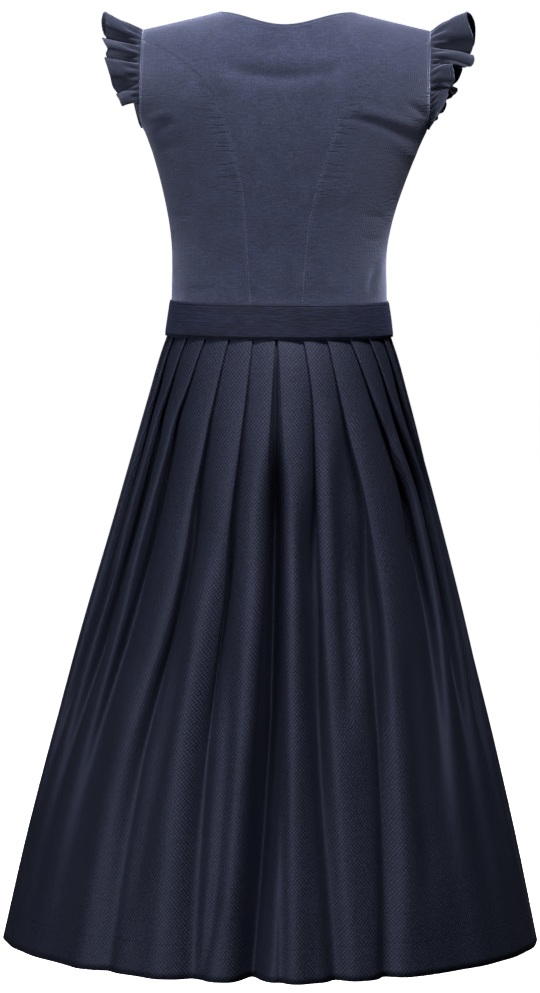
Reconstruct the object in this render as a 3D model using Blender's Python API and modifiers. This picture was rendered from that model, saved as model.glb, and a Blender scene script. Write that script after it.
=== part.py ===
"""Dirndl in its worn, hollow form: corduroy bodice, gathered cap frills, waistband and pleated skirt.

The dress hangs from the wearer's shoulders. The origin is midway between the two neck points,
+Z is up, the front faces -Y and the wearer's left is +X. Tables and sizes are in millimetres,
and the meshes are made in metres.
"""
import math

import bpy
import numpy as np

MILLIMETRE = 0.001

# Walls and seams
CORD_WALL = 1.2
FRILL_WALL = 1.0
BAND_WALL = 1.6
SKIRT_WALL = 1.0
SEAM_GAP = 0.3

# Levels of the bodice
UNDERARM = -140.0
SHOULDER_TIP = -21.5
CHEST = -115.0            # the upper body starts to round over towards the shoulders here
NECK_HALF = 80.0
TIP_HALF = 170.0
NECK_RISE = 18.0          # how far the closed body would rise above the neck points
SHOULDER_BEND = 0.95      # exponent of the shoulder line from the neck point to the tip
BACK_NECK_DROP = 15.0
FRONT_NECK_DROP = 128.0
SQUARENESS = 2.2          # exponent of the oval sections
ARCH = 2.2                # exponent of the curve from the back over the shoulder

BODY_COLUMNS = ("height", "half_width", "back_depth", "front_depth")
BODY_ROWS = (
    (-384.5, 133.4, 88.0, 99.0),
    (-343.5, 127.6, 84.0, 96.5),
    (-335.0, 127.1, 84.0, 97.0),
    (-317.0, 126.7, 85.3, 100.5),
    (-300.0, 126.3, 86.5, 104.0),
    (-280.0, 126.9, 88.5, 109.0),
    (-255.0, 130.2, 92.0, 115.5),
    (-230.0, 135.6, 96.0, 120.0),
    (-205.0, 142.6, 100.0, 121.5),
    (-180.0, 150.6, 103.5, 120.5),
    (-155.0, 159.8, 106.0, 117.5),
    (-140.0, 166.4, 107.0, 115.5),
    (-125.0, 174.0, 107.5, 113.5),
    (-100.0, 183.0, 107.5, 110.5),
    (-75.0, 187.0, 106.5, 108.0),
    (-50.0, 187.0, 105.0, 106.0),
    (20.0, 184.0, 104.0, 104.0),
)

# Princess seams, by how far they lie from the middle
BACK_SEAM_COLUMNS = ("height", "reach")
BACK_SEAM_ROWS = (
    (-343.5, 30.5),
    (-291.0, 34.0),
    (-240.0, 38.5),
    (-216.0, 42.0),
    (-186.0, 48.5),
    (-159.0, 56.0),
    (-134.0, 63.5),
    (-111.0, 72.5),
    (-93.0, 83.5),
    (-76.5, 96.5),
    (-61.5, 113.0),
    (-48.5, 133.0),
    (-39.5, 152.0),
    (-34.0, 170.0),
)
FRONT_SEAM_COLUMNS = ("height", "reach")
FRONT_SEAM_ROWS = (
    (-343.5, 58.0),
    (-290.0, 71.0),
    (-240.0, 85.0),
    (-205.0, 93.0),
    (-163.0, 101.5),
    (-138.0, 108.5),
    (-115.0, 118.0),
    (-97.0, 129.0),
    (-80.0, 144.0),
    (-70.0, 158.9),
)

# The cut edge of the armhole, by how far it lies from the middle
ARMHOLE_COLUMNS = ("height", "back_reach", "front_reach")
ARMHOLE_ROWS = (
    (-140.0, 166.4, 166.4),
    (-132.0, 168.8, 165.2),
    (-120.0, 170.0, 162.8),
    (-100.0, 170.0, 160.0),
    (-75.0, 170.0, 158.7),
    (-50.0, 170.0, 161.2),
    (-30.0, 170.0, 166.6),
    (-21.5, 170.0, 170.0),
)
BUST_HEIGHT = -222.0
BUST_REACH = 84.0
BUST_SPREAD = 44.0
BUST_FULLNESS = 13.0

# The stance: how far each level stands towards the wearer's left of the neck
STANCE_COLUMNS = ("height", "shift")
STANCE_ROWS = (
    (-1110.0, 14.0),
    (-888.0, 12.5),
    (-586.0, 8.5),
    (-400.0, 7.0),
    (-335.0, 7.0),
    (-290.0, 7.3),
    (-246.0, 5.9),
    (-167.0, 1.9),
    (-60.0, 0.1),
    (0.0, 0.0),
)

# Cap frills: places along the free edge, by the share of the armhole line from its back end that
# the cloth there is gathered to: how far out from the middle, how far back, and its height. The
# edge runs up the back, over the shoulder and down the front, in folds that lap over each other.
FRILL_COLUMNS = ("along", "edge_out", "edge_back", "edge_height")
LEFT_FRILL_ROWS = (
    (0.000, 170.0, 14.0, -136.0),
    (0.030, 172.0, 21.0, -131.0),
    (0.060, 174.0, 24.0, -124.0),
    (0.085, 177.0, 24.0, -113.0),
    (0.100, 180.0, 22.0, -102.0),
    (0.125, 186.0, 34.0, -105.0),
    (0.145, 191.0, 40.0, -110.0),
    (0.165, 195.0, 40.0, -102.0),
    (0.178, 198.5, 33.0, -97.5),
    (0.200, 198.0, 23.0, -95.5),
    (0.221, 203.5, 31.0, -86.5),
    (0.235, 205.0, 42.0, -77.0),
    (0.255, 209.0, 42.0, -64.0),
    (0.275, 213.0, 30.0, -54.0),
    (0.292, 209.0, 6.0, -60.0),
    (0.308, 212.0, 24.0, -50.0),
    (0.323, 209.0, 40.0, -43.0),
    (0.336, 213.0, 38.0, -36.0),
    (0.346, 216.5, 26.0, -31.0),
    (0.362, 214.0, 6.0, -35.0),
    (0.380, 211.5, 22.0, -25.0),
    (0.400, 211.0, 34.0, -15.0),
    (0.420, 212.5, 24.0, -2.0),
    (0.440, 216.0, 6.0, -0.5),
    (0.465, 219.0, -10.0, -4.0),
    (0.490, 221.0, -22.0, -12.0),
    (0.515, 219.0, -26.0, -24.0),
    (0.535, 213.0, -14.0, -32.0),
    (0.555, 214.0, -32.0, -34.0),
    (0.585, 211.0, -44.0, -45.0),
    (0.610, 207.0, -28.0, -54.0),
    (0.635, 208.0, -46.0, -56.0),
    (0.665, 203.0, -56.0, -68.0),
    (0.690, 199.0, -38.0, -76.0),
    (0.715, 199.0, -56.0, -79.0),
    (0.750, 194.0, -66.0, -90.0),
    (0.775, 189.0, -50.0, -96.0),
    (0.800, 187.0, -66.0, -99.0),
    (0.840, 178.0, -70.0, -110.0),
    (0.865, 176.0, -56.0, -113.0),
    (0.890, 174.0, -64.0, -118.0),
    (0.930, 173.0, -57.0, -125.0),
    (0.965, 171.0, -42.0, -131.0),
    (1.000, 170.5, -24.0, -136.5),
)
RIGHT_FRILL_ROWS = (
    (0.000, 170.0, 14.0, -136.0),
    (0.035, 176.0, 30.0, -127.0),
    (0.070, 181.0, 38.0, -119.0),
    (0.100, 187.0, 41.0, -109.0),
    (0.130, 191.0, 38.0, -98.0),
    (0.155, 193.0, 30.0, -89.0),
    (0.170, 199.0, 14.0, -95.0),
    (0.181, 203.0, 8.0, -89.0),
    (0.195, 194.0, 26.0, -85.0),
    (0.213, 199.0, 38.0, -80.0),
    (0.228, 198.0, 41.0, -69.0),
    (0.248, 196.0, 38.0, -60.0),
    (0.272, 204.0, 16.0, -62.5),
    (0.288, 212.0, 12.0, -62.5),
    (0.302, 212.0, 27.0, -61.5),
    (0.314, 219.0, 36.0, -61.0),
    (0.326, 222.0, 36.0, -54.0),
    (0.338, 220.0, 26.0, -49.0),
    (0.353, 213.0, 3.0, -54.0),
    (0.370, 219.0, 20.0, -43.0),
    (0.390, 220.0, 36.0, -29.0),
    (0.410, 215.0, 36.0, -13.0),
    (0.430, 212.0, 24.0, 0.5),
    (0.450, 217.0, 6.0, -0.5),
    (0.475, 222.0, -10.0, -10.0),
    (0.500, 223.0, -22.0, -24.0),
    (0.525, 221.0, -26.0, -37.0),
    (0.545, 214.0, -14.0, -44.0),
    (0.565, 217.0, -34.0, -46.0),
    (0.595, 215.0, -46.0, -56.0),
    (0.620, 208.0, -30.0, -62.0),
    (0.645, 208.0, -50.0, -66.0),
    (0.675, 203.0, -60.0, -78.0),
    (0.700, 197.0, -42.0, -84.0),
    (0.725, 199.0, -58.0, -88.0),
    (0.760, 196.0, -68.0, -98.0),
    (0.785, 188.0, -52.0, -102.0),
    (0.810, 190.0, -68.0, -106.0),
    (0.845, 186.0, -70.0, -116.0),
    (0.870, 180.0, -56.0, -118.0),
    (0.900, 180.0, -64.0, -124.0),
    (0.935, 175.0, -56.0, -127.0),
    (0.970, 171.5, -40.0, -131.5),
    (1.000, 170.5, -24.0, -136.5),
)
LEFT_FRILL_BOW = 0.5
RIGHT_FRILL_BOW = 3.5     # how far the cloth rises above the straight line from seam to free edge
FRILL_END = -136.0
FRILL_STATIONS = 130
FRILL_ROWS_ACROSS = (0.0, 0.33, 0.67, 1.0)
FRILL_CLEAR = 1.3
FRILL_FULL_WIDTH = 34.0   # from this width on the frill has its whole bow
ARMHOLE_SAMPLES = 120

# Waistband
BAND_TOP = -341.0
BAND_BOTTOM = -382.5
BAND_COLUMNS = 56
BAND_CLEAR = 1.7
LAP = 13.0
LAP_RUN = 24.0
LAP_EASE = 2.0            # the raised part ends this far past the lap
LAP_RAISE = CORD_WALL + 0.4
BAND_LAP_RAISE = BAND_WALL + 0.4

# Skirt
SKIRT_TOP = -379.5
HEM = -1110.0
SKIRT_COLUMNS = ("height", "half_width", "back_depth", "front_depth", "squareness",
                 "fold_depth", "layer_lift", "softness")
SKIRT_ROWS = (
    (-379.5, 132.0, 86.6, 97.6, 2.20, 21.0, 2.0, 0.7),
    (-400.5, 139.4, 96.5, 103.0, 2.18, 20.0, 2.2, 0.9),
    (-455.0, 155.0, 116.5, 114.5, 2.14, 17.0, 2.9, 1.5),
    (-525.0, 175.1, 140.0, 131.5, 2.10, 13.0, 4.6, 3.0),
    (-620.0, 201.9, 168.0, 152.5, 2.04, 8.0, 6.6, 6.0),
    (-735.0, 234.0, 199.0, 176.5, 1.98, 4.0, 8.0, 10.0),
    (-860.0, 267.4, 230.0, 201.0, 1.92, 1.5, 8.4, 13.0),
    (-990.0, 299.3, 260.5, 226.0, 1.88, 0.5, 8.0, 14.0),
    (-1110.0, 325.2, 287.0, 247.0, 1.86, 0.5, 8.0, 14.0),
)
FOLDS_A_SIDE = 13
# The folds nearest the centre back, by how far out they lie as a share of the skirt's half width
FOLD_COLUMNS = ("fold", "left_band", "left_knee", "left_hem", "right_band", "right_knee", "right_hem")
FOLD_ROWS = (
    (0, 0.006, 0.052, 0.088, 0.012, 0.090, 0.062),
    (1, 0.214, 0.246, 0.290, 0.238, 0.312, 0.285),
    (2, 0.424, 0.498, 0.590, 0.445, 0.575, 0.530),
    (3, 0.632, 0.765, 0.800, 0.643, 0.880, 0.800),
)
KNEE = -620.0
FRONT_FACE_BAND = 62.0
FRONT_FACE_HEM = 120.0
SIDE_SEAM_FOLD = 6
UNDER_SHARE = 0.78        # a pleat goes under the next one by no more of the pitch than this
SOFTEN_SAMPLES = 8192
RING_SAMPLES = 2880          # even, so that centre back falls on a sample

# Buttons
BUTTON_RADIUS = 6.0
BUTTON_HEIGHT = 3.4
BUTTON_COUNT = 7
BUTTON_TOP = -138.0
BUTTON_BOTTOM = -332.0
BUTTON_CLEAR = 0.5
BAND_BUTTON_CLEAR = 1.8
BUTTON_SIDES = 12

CORD_COLOUR = (0.075, 0.090, 0.160, 1.0)
BAND_COLOUR = (0.020, 0.026, 0.070, 1.0)
SKIRT_COLOUR = (0.012, 0.016, 0.040, 1.0)
BUTTON_COLOUR = (0.180, 0.180, 0.190, 1.0)


def look_up(columns, rows, name, at):
    """Smooth curve through one named column of a table, by its first column."""
    table = np.array(sorted(rows), dtype=float)
    known = table[:, 0]
    value = table[:, columns.index(name)]
    slope = np.gradient(value, known)
    at = np.clip(np.asarray(at, dtype=float), known[0], known[-1])
    left = np.clip(np.searchsorted(known, at, side="right") - 1, 0, len(known) - 2)
    step = known[left + 1] - known[left]
    t = (at - known[left]) / step
    start = value[left] * (1 + 2 * t) * (1 - t) ** 2 + value[left + 1] * t * t * (3 - 2 * t)
    bend = slope[left] * step * t * (1 - t) ** 2 - slope[left + 1] * step * t * t * (1 - t)
    return start + bend


def smoothstep(t):
    t = np.clip(t, 0.0, 1.0)
    return t * t * (3 - 2 * t)


def stand(points):
    """The same points in the wearer's stance, each level shifted sideways."""
    points = np.array(points, dtype=float)
    points[..., 0] += look_up(STANCE_COLUMNS, STANCE_ROWS, "shift", points[..., 2])
    return points


def shoulder_height(x):
    """Height of the shoulder line, and of the closed body's top between the neck points."""
    x = np.abs(x)
    slope = SHOULDER_TIP * (np.maximum(x - NECK_HALF, 0.0) / (TIP_HALF - NECK_HALF)) ** SHOULDER_BEND
    crown = NECK_RISE * (1 - np.minimum(x / NECK_HALF, 1.0) ** 2)
    return slope + crown


def body_surface(x, height, face, out=0.0):
    """Inside face of the bodice at x and height: face is 1 for the back and -1 for the front."""
    x, height = np.broadcast_arrays(np.asarray(x, float), np.asarray(height, float))
    half = look_up(BODY_COLUMNS, BODY_ROWS, "half_width", height)
    depth = look_up(BODY_COLUMNS, BODY_ROWS, "back_depth" if face > 0 else "front_depth", height)
    oval = (1 - np.minimum(np.abs(x) / half, 1.0) ** SQUARENESS) ** (1 / SQUARENESS)
    top = np.clip((height - CHEST) / (shoulder_height(x) - CHEST), 0.0, 1.0)
    y = depth * oval * (1 - top ** ARCH) ** (1 / ARCH)
    if face < 0:
        away = ((np.abs(x) - BUST_REACH) ** 2 + (height - BUST_HEIGHT) ** 2) / BUST_SPREAD ** 2
        y = y + BUST_FULLNESS * np.exp(-away) * np.minimum(oval * 1.6, 1.0)
    return np.stack([x, face * (y + out), height], axis=-1)


def seam_reach(columns, rows, height):
    """Reach of a princess seam, and the half gap that keeps its two panels apart."""
    reach = look_up(columns, rows, "reach", height)
    lean = (look_up(columns, rows, "reach", height + 1.0) - reach)
    return reach, 0.5 * SEAM_GAP * np.sqrt(1 + lean ** 2)


def armhole_reach(height, face):
    name = "back_reach" if face > 0 else "front_reach"
    return look_up(ARMHOLE_COLUMNS, ARMHOLE_ROWS, name, height)


LOWER_LEVELS = (-343.5, -330.0, -305.0, -280.0, -255.0, -230.0, -205.0, -180.0, -157.0, -140.0)
BACK_ARM_LEVELS = (-137.5, -131.0, -118.0, -100.0, -82.0, -66.0, -52.0, -42.0, -34.0)
FRONT_ARM_LEVELS = (-137.5, -129.0, -126.5, -120.0, -108.0, -94.0, -81.0, -70.0)
BACK_TOP_LEVELS = (-28.0, -23.2, -21.8, -21.5)
FRONT_TOP_LEVELS = (-57.0, -45.0, -34.0, -28.0, -23.2, -21.8, -21.5)


def panel_edge(face, arm_levels, top_levels, seam):
    """Levels of a panel that holds a shoulder, and its outer edge: the seam, then the armhole."""
    columns, rows = seam
    levels = np.array(LOWER_LEVELS + arm_levels + top_levels)
    reach, half_gap = seam_reach(columns, rows, levels)
    edge = np.where(levels <= arm_levels[-1], reach - half_gap, armhole_reach(levels, face))
    return levels, edge


def back_centre_grid(across, seam):
    """Middle back: each row keeps its share of the height from the waist up to the top edge."""
    levels, edge = panel_edge(1, BACK_ARM_LEVELS, BACK_TOP_LEVELS, seam)
    rise = (levels - levels[0]) / (levels[-1] - levels[0])
    top_x = across * TIP_HALF
    neck_part = np.minimum(np.abs(top_x) / NECK_HALF, 1.0)
    neck = -BACK_NECK_DROP * 0.5 * (1 + np.cos(np.pi * neck_part))
    top = np.where(neck_part < 1.0, neck, shoulder_height(top_x))
    height = levels[0] + rise[:, None] * (top[None, :] - levels[0])
    grid = body_surface(across[None, :] * edge[:, None], height, 1)
    grid[-1, neck_part >= 0.999, 1] += 0.5 * SEAM_GAP
    return grid


def front_grid(side, count, seam):
    """One front, from the lap at the middle and the neckline out to the seam and the armhole.

    The neckline is a quarter oval. The rows are level up to its foot, and from there they tilt
    into the slope of the shoulder. The right front lies on top, raised by the wall below it.
    """
    levels, edge = panel_edge(-1, FRONT_ARM_LEVELS, FRONT_TOP_LEVELS, seam)
    part = np.linspace(0.0, 1.0, count)
    tilt = smoothstep((levels + FRONT_NECK_DROP) / (FRONT_NECK_DROP + SHOULDER_TIP))
    slope = SHOULDER_TIP * (part ** SHOULDER_BEND - 1)
    height = levels[:, None] + tilt[:, None] * slope[None, :]
    drop = np.clip(-height[:, 0] / FRONT_NECK_DROP, 0.0, 1.0)
    inner = np.where(levels < -FRONT_NECK_DROP, -LAP, NECK_HALF * (1 - drop ** 2) ** (1 / 2.2))
    x = inner[:, None] + (edge - inner)[:, None] * part[None, :]
    grid = body_surface(x, height, -1)
    grid[-1, :, 1] -= 0.5 * SEAM_GAP
    if side < 0:
        near = 1 - smoothstep((grid[..., 0] - LAP - LAP_EASE) / LAP_RUN)
        grid[..., 1] -= LAP_RAISE * near
    grid[..., 0] *= side
    return grid


def side_panel(face, side, arm_levels, seam, count):
    """Panel under the arm, from the princess seam to the side seam and the armhole."""
    columns, rows = seam
    levels = np.array(LOWER_LEVELS + arm_levels)
    reach, half_gap = seam_reach(columns, rows, levels)
    half = look_up(BODY_COLUMNS, BODY_ROWS, "half_width", levels)
    outer = np.where(levels <= UNDERARM, half, armhole_reach(levels, face))
    start = np.arcsin(np.minimum((reach + half_gap) / half, 1.0) ** (SQUARENESS / 2))
    end = np.arcsin(np.minimum(outer / half, 1.0) ** (SQUARENESS / 2))
    end = np.where(levels <= UNDERARM, math.pi / 2, np.maximum(end, start + 0.004))
    turn = start[:, None] + (end - start)[:, None] * np.linspace(0.0, 1.0, count)[None, :]
    x = half[:, None] * np.sin(turn) ** (2 / SQUARENESS)
    grid = body_surface(x, levels[:, None], face)
    grid[: len(LOWER_LEVELS), -1, 1] = face * 0.5 * SEAM_GAP
    grid[..., 0] *= side
    return grid


def oval_ring(half, back, front, squareness, count):
    """Closed oval from centre front round by the wearer's right, the back and the left."""
    turn = np.linspace(-math.pi, math.pi, count + 1)[:-1]
    depth = np.where(np.cos(turn) > 0, back, front)
    x = half * np.sign(np.sin(turn)) * np.abs(np.sin(turn)) ** (2 / squareness)
    y = depth * np.sign(np.cos(turn)) * np.abs(np.cos(turn)) ** (2 / squareness)
    return x, y


def ring_reader(half, back, front, squareness):
    """Functions of the length round an oval: place and outward normal, 0 at centre back."""
    x, y = oval_ring(half, back, front, squareness, RING_SAMPLES)
    x, y = np.append(x, x[0]), np.append(y, y[0])
    length = np.concatenate([[0.0], np.cumsum(np.hypot(np.diff(x), np.diff(y)))])
    total = length[-1]
    middle = length[RING_SAMPLES // 2]
    along = length - middle

    def place(s, out):
        s = (np.asarray(s) + middle) % total - middle
        px, py = np.interp(s, along, x), np.interp(s, along, y)
        step = 0.8
        ahead = (s + step + middle) % total - middle
        behind = (s - step + middle) % total - middle
        tx = np.interp(ahead, along, x) - np.interp(behind, along, x)
        ty = np.interp(ahead, along, y) - np.interp(behind, along, y)
        size = np.hypot(tx, ty)
        return px - ty / size * out, py + tx / size * out

    def length_at(reach, side):
        """Length from centre back to where the oval has this share of its half width."""
        back_part = (along * side >= 0) & (y >= 0)
        order = np.argsort(np.abs(x[back_part]))
        return np.interp(reach * half, np.abs(x[back_part])[order], np.abs(along[back_part])[order])

    return place, length_at, total


def waistband_grid():
    """One strip round the waist, its ends lapped at centre front."""
    rows = []
    for level in (BAND_BOTTOM, BAND_TOP):
        half = look_up(BODY_COLUMNS, BODY_ROWS, "half_width", level) + BAND_CLEAR
        back = look_up(BODY_COLUMNS, BODY_ROWS, "back_depth", level) + BAND_CLEAR
        front = look_up(BODY_COLUMNS, BODY_ROWS, "front_depth", level) + BAND_CLEAR
        place, _, total = ring_reader(half, back, front, SQUARENESS)
        s = np.linspace(-total / 2 - LAP, total / 2 + LAP, BAND_COLUMNS + 1)
        from_front = total / 2 - np.abs(s)
        over_fronts = 1 - smoothstep((from_front - LAP - LAP_EASE) / LAP_RUN)
        over_end = 1 - smoothstep((s + total / 2 - LAP - 0.5 * LAP_EASE) / LAP_RUN)
        px, py = place(s, over_fronts * LAP_RAISE + over_end * BAND_LAP_RAISE)
        rows.append(np.stack([px, py, np.full_like(px, level)], axis=-1))
    return np.array(rows)


def fold_lengths(level, length_at, total, side):
    """Length from centre back to each fold on one side, at one level of the skirt."""
    name = "left" if side > 0 else "right"
    table = np.array(FOLD_ROWS)
    share = []
    for station in ("band", "knee", "hem"):
        share.append(table[:, FOLD_COLUMNS.index(name + "_" + station)])
    to_knee = smoothstep((SKIRT_TOP - level) / (SKIRT_TOP - KNEE))
    to_hem = smoothstep((KNEE - level) / (KNEE - HEM))
    reach = share[0] * (1 - to_knee) + share[1] * to_knee
    reach = reach * (1 - to_hem) + share[2] * to_hem
    near = np.array([float(length_at(value, side)) for value in reach])
    down = (SKIRT_TOP - level) / (SKIRT_TOP - HEM)
    last = total / 2 - 0.5 * (FRONT_FACE_BAND + (FRONT_FACE_HEM - FRONT_FACE_BAND) * down)
    rest = np.linspace(near[-1], last, FOLDS_A_SIDE - len(near) + 1)[1:]
    return np.concatenate([near, rest])


def fold_side(folds, half_length, depth, lift, softness):
    """One side of the folded cloth, from centre back to centre front.

    Each pleat's face runs on under the next fold, turns back as the underlay and turns out again
    at that fold, all in parallel layers. Returns the corners as length round the skirt and drop
    below the outer layer, the cloth length at each corner, the cloth lengths that carry a column
    of points, and which of these is the side seam.
    """
    s, drop = [0.0], [-2 * lift]
    for k, at in enumerate(folds):
        last = k == len(folds) - 1
        pitch = (half_length if last else folds[k + 1]) - at
        under = min(depth, UNDER_SHARE * pitch)
        slope = 0.0 if last else 2 * lift / pitch
        s += [at, at + under, at + under, at, at]
        drop += [-2 * lift, -2 * lift - slope * under, -lift - slope * under, -lift, 0.0]
    s.append(half_length)
    drop.append(0.0)
    s, drop = np.array(s), np.array(drop)
    cloth = np.concatenate([[0.0], np.cumsum(np.hypot(np.diff(s), np.diff(drop)))])
    rounding = 1.6 + 1.3 * softness
    start, face_start = 0.0, 0.0
    stations = [0.0]
    seam = 0
    for k in range(len(folds)):
        inner = 0.5 * (cloth[5 * k + 2] + cloth[5 * k + 3])
        edge = 0.5 * (cloth[5 * k + 4] + cloth[5 * k + 5])
        turn = min(rounding, 0.38 * (edge - inner))
        if k > 0:
            face_start = start + min(rounding, 0.3 * (inner - start))
            stations.append(face_start)
        face_end = inner - min(rounding, 0.3 * (inner - start))
        if k == SIDE_SEAM_FOLD:
            seam = len(stations)
        stations += [0.5 * (face_start + face_end), face_end]
        stations += [inner, inner + turn, edge - turn, edge]
        start = edge
    face_start = start + rounding
    stations += [face_start + (cloth[-1] - face_start) * part for part in (0.0, 0.35, 0.7, 1.0)]
    return s, drop, cloth, np.array(stations), seam


def skirt_ring(level):
    """One level of the skirt: a function of the cloth length, its stations and the seam stations.

    The cloth's path of straight runs and sharp turns is laid round the oval of this level and
    softened along its own length, little at the band and much at the hem, where the pleats open
    into waves. Cloth length is 0 at centre back, and grows towards the wearer's left.
    """
    values = [float(look_up(SKIRT_COLUMNS, SKIRT_ROWS, name, level)) for name in SKIRT_COLUMNS[1:]]
    half, back, front, squareness, depth, lift, softness = values
    place, length_at, total = ring_reader(half, back, front, squareness)
    left = fold_side(fold_lengths(level, length_at, total, 1), total / 2, depth, lift, softness)
    right = fold_side(fold_lengths(level, length_at, total, -1), total / 2, depth, lift, softness)
    s = np.concatenate([-right[0][::-1], left[0][1:]])
    drop = np.concatenate([right[1][::-1], left[1][1:]])
    cloth = np.concatenate([-right[2][::-1], left[2][1:]])
    stations = np.concatenate([-right[3][::-1], left[3][1:]])
    seam_left = len(right[3]) - 1 + left[4]
    seam_right = len(right[3]) - 1 - right[4]
    even = np.linspace(cloth[0], cloth[-1], SOFTEN_SAMPLES + 1)
    px, py = place(np.interp(even, cloth, s), np.interp(even, cloth, drop))
    line = px[:-1] + 1j * py[:-1]
    wave = np.fft.fftfreq(SOFTEN_SAMPLES, d=even[1] - even[0])
    line = np.fft.ifft(np.fft.fft(line) * np.exp(-2 * (math.pi * wave * softness) ** 2))
    line = np.append(line, line[0])

    def point(at):
        x, y = np.interp(at, even, line.real), np.interp(at, even, line.imag)
        return np.stack([x, y, np.full_like(x, level)], axis=-1)

    return point, stations, seam_left, seam_right


def skirt_grids():
    """Points of the back and front skirt widths, which meet on a pleat's face at each side."""
    back, front = [], []
    for row in SKIRT_ROWS:
        point, stations, seam_left, seam_right = skirt_ring(row[0])
        half_gap = 0.5 * SEAM_GAP
        behind = stations[seam_right:seam_left + 1].copy()
        behind[0] += half_gap
        behind[-1] -= half_gap
        left = stations[seam_left:].copy()
        left[0] += half_gap
        right = stations[1:seam_right + 1].copy()
        right[-1] -= half_gap
        back.append(point(behind))
        front.append(np.concatenate([point(left), point(right)]))
    return np.array(back), np.array(front)


def armhole_line():
    """Armhole edge of the left side, from its back end over the shoulder to its front end.

    Returns points just off the middle of the bodice's cut edge, where the frill starts.
    """
    climb = np.linspace(0.0, 1.0, ARMHOLE_SAMPLES)
    height = FRILL_END + (SHOULDER_TIP - FRILL_END) * (1 - (1 - climb) ** 1.6)
    sides = []
    for face in (1, -1):
        reach = armhole_reach(height, face)
        here = body_surface(reach, height, face)
        beside = body_surface(reach - 0.5, height, face) - here
        along = np.gradient(here, axis=0)
        along /= np.linalg.norm(along, axis=1)[:, None]
        normal = -face * np.cross(along, beside)
        normal /= np.linalg.norm(normal, axis=1)[:, None]
        away = np.cross(normal, along) * face
        here = here + 0.5 * CORD_WALL * normal + FRILL_CLEAR * away
        sides.append(here[::face])
    sides[0][-1, 1] = max(sides[0][-1, 1], 0.0)
    return np.concatenate([sides[0][:-1], sides[1][1:]])


def frill_grid(side):
    """Gathered cap frill, lofted from the armhole edge to its folded free edge.

    A point lies at seam + t * (edge - seam), raised by bow * sin(pi * t).
    """
    rows, bow = (LEFT_FRILL_ROWS, LEFT_FRILL_BOW) if side > 0 else (RIGHT_FRILL_ROWS, RIGHT_FRILL_BOW)
    line = armhole_line()
    length = np.concatenate([[0.0], np.cumsum(np.linalg.norm(np.diff(line, axis=0), axis=1))])
    known = np.array(rows)[:, 0]
    share = np.interp(np.linspace(0.0, 1.0, FRILL_STATIONS), np.linspace(0.0, 1.0, len(known)), known)
    seam = np.stack([np.interp(share * length[-1], length, line[:, axis]) for axis in range(3)], axis=-1)
    edge = np.stack([look_up(FRILL_COLUMNS, rows, name, share) for name in FRILL_COLUMNS[1:]], axis=-1)
    full = np.minimum(np.linalg.norm(edge - seam, axis=1) / FRILL_FULL_WIDTH, 1.0)
    made = []
    for t in FRILL_ROWS_ACROSS:
        made.append(seam + t * (edge - seam))
        made[-1][:, 2] += bow * math.sin(math.pi * t) * full
    grid = np.array(made)
    grid[..., 0] *= side
    return grid


def material(name, colour, roughness, metallic=0.0):
    finish = bpy.data.materials.new(name)
    finish.use_nodes = True
    shader = finish.node_tree.nodes["Principled BSDF"]
    shader.inputs["Base Color"].default_value = colour
    shader.inputs["Roughness"].default_value = roughness
    shader.inputs["Metallic"].default_value = metallic
    finish.diffuse_color = colour
    return finish


def sheet(name, grid, wall, offset, finish, home):
    """Cloth as an open grid surface, faces turned away from the body's middle, with a wall."""
    rows, columns = grid.shape[:2]
    points = stand(grid.reshape(-1, 3)) * MILLIMETRE
    first = (np.arange(rows - 1)[:, None] * columns + np.arange(columns - 1)[None, :]).ravel()
    faces = np.stack([first, first + 1, first + 1 + columns, first + columns], axis=-1)
    middles = points[faces].mean(axis=1)
    normals = np.cross(points[faces[:, 2]] - points[faces[:, 0]], points[faces[:, 3]] - points[faces[:, 1]])
    if np.sum(normals[:, :2] * middles[:, :2]) < 0:
        faces = faces[:, ::-1]
    mesh = bpy.data.meshes.new(name)
    mesh.from_pydata(points.tolist(), [], faces.tolist())
    mesh.shade_smooth()
    thing = bpy.data.objects.new(name, mesh)
    home.objects.link(thing)
    thing.data.materials.append(finish)
    walls = thing.modifiers.new("Wall", "SOLIDIFY")
    walls.thickness = wall * MILLIMETRE
    walls.offset = offset
    return thing


def button(name, height, extra_out, finish, home):
    """Domed button, turned from a profile and seated just off the cloth at centre front."""
    centre = body_surface(0.0, height, -1)
    above = body_surface(0.0, height + 3.0, -1)
    below = body_surface(0.0, height - 3.0, -1)
    tilt = math.atan2(above[1] - below[1], above[2] - below[2])
    profile = [(0.0, BUTTON_HEIGHT), (0.7, 0.82 * BUTTON_HEIGHT), (1.0, 0.40 * BUTTON_HEIGHT),
               (0.94, 0.0), (0.0, 0.0)]
    points = [(part * BUTTON_RADIUS * MILLIMETRE, 0.0, rise * MILLIMETRE) for part, rise in profile]
    mesh = bpy.data.meshes.new(name)
    mesh.from_pydata(points, [(i, i + 1) for i in range(len(points) - 1)], [])
    thing = bpy.data.objects.new(name, mesh)
    home.objects.link(thing)
    thing.data.materials.append(finish)
    turned = thing.modifiers.new("Turned", "SCREW")
    turned.steps = BUTTON_SIDES
    turned.render_steps = BUTTON_SIDES
    turned.use_merge_vertices = True
    turned.merge_threshold = 0.00001
    turned.use_smooth_shade = False
    off = CORD_WALL + BUTTON_CLEAR + extra_out
    facing = math.pi / 2 - tilt
    thing.rotation_euler = (facing, 0.0, 0.0)
    place = centre + np.array([0.0, -math.sin(facing), math.cos(facing)]) * off
    thing.location = tuple(float(value) for value in stand(place) * MILLIMETRE)
    return thing


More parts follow.
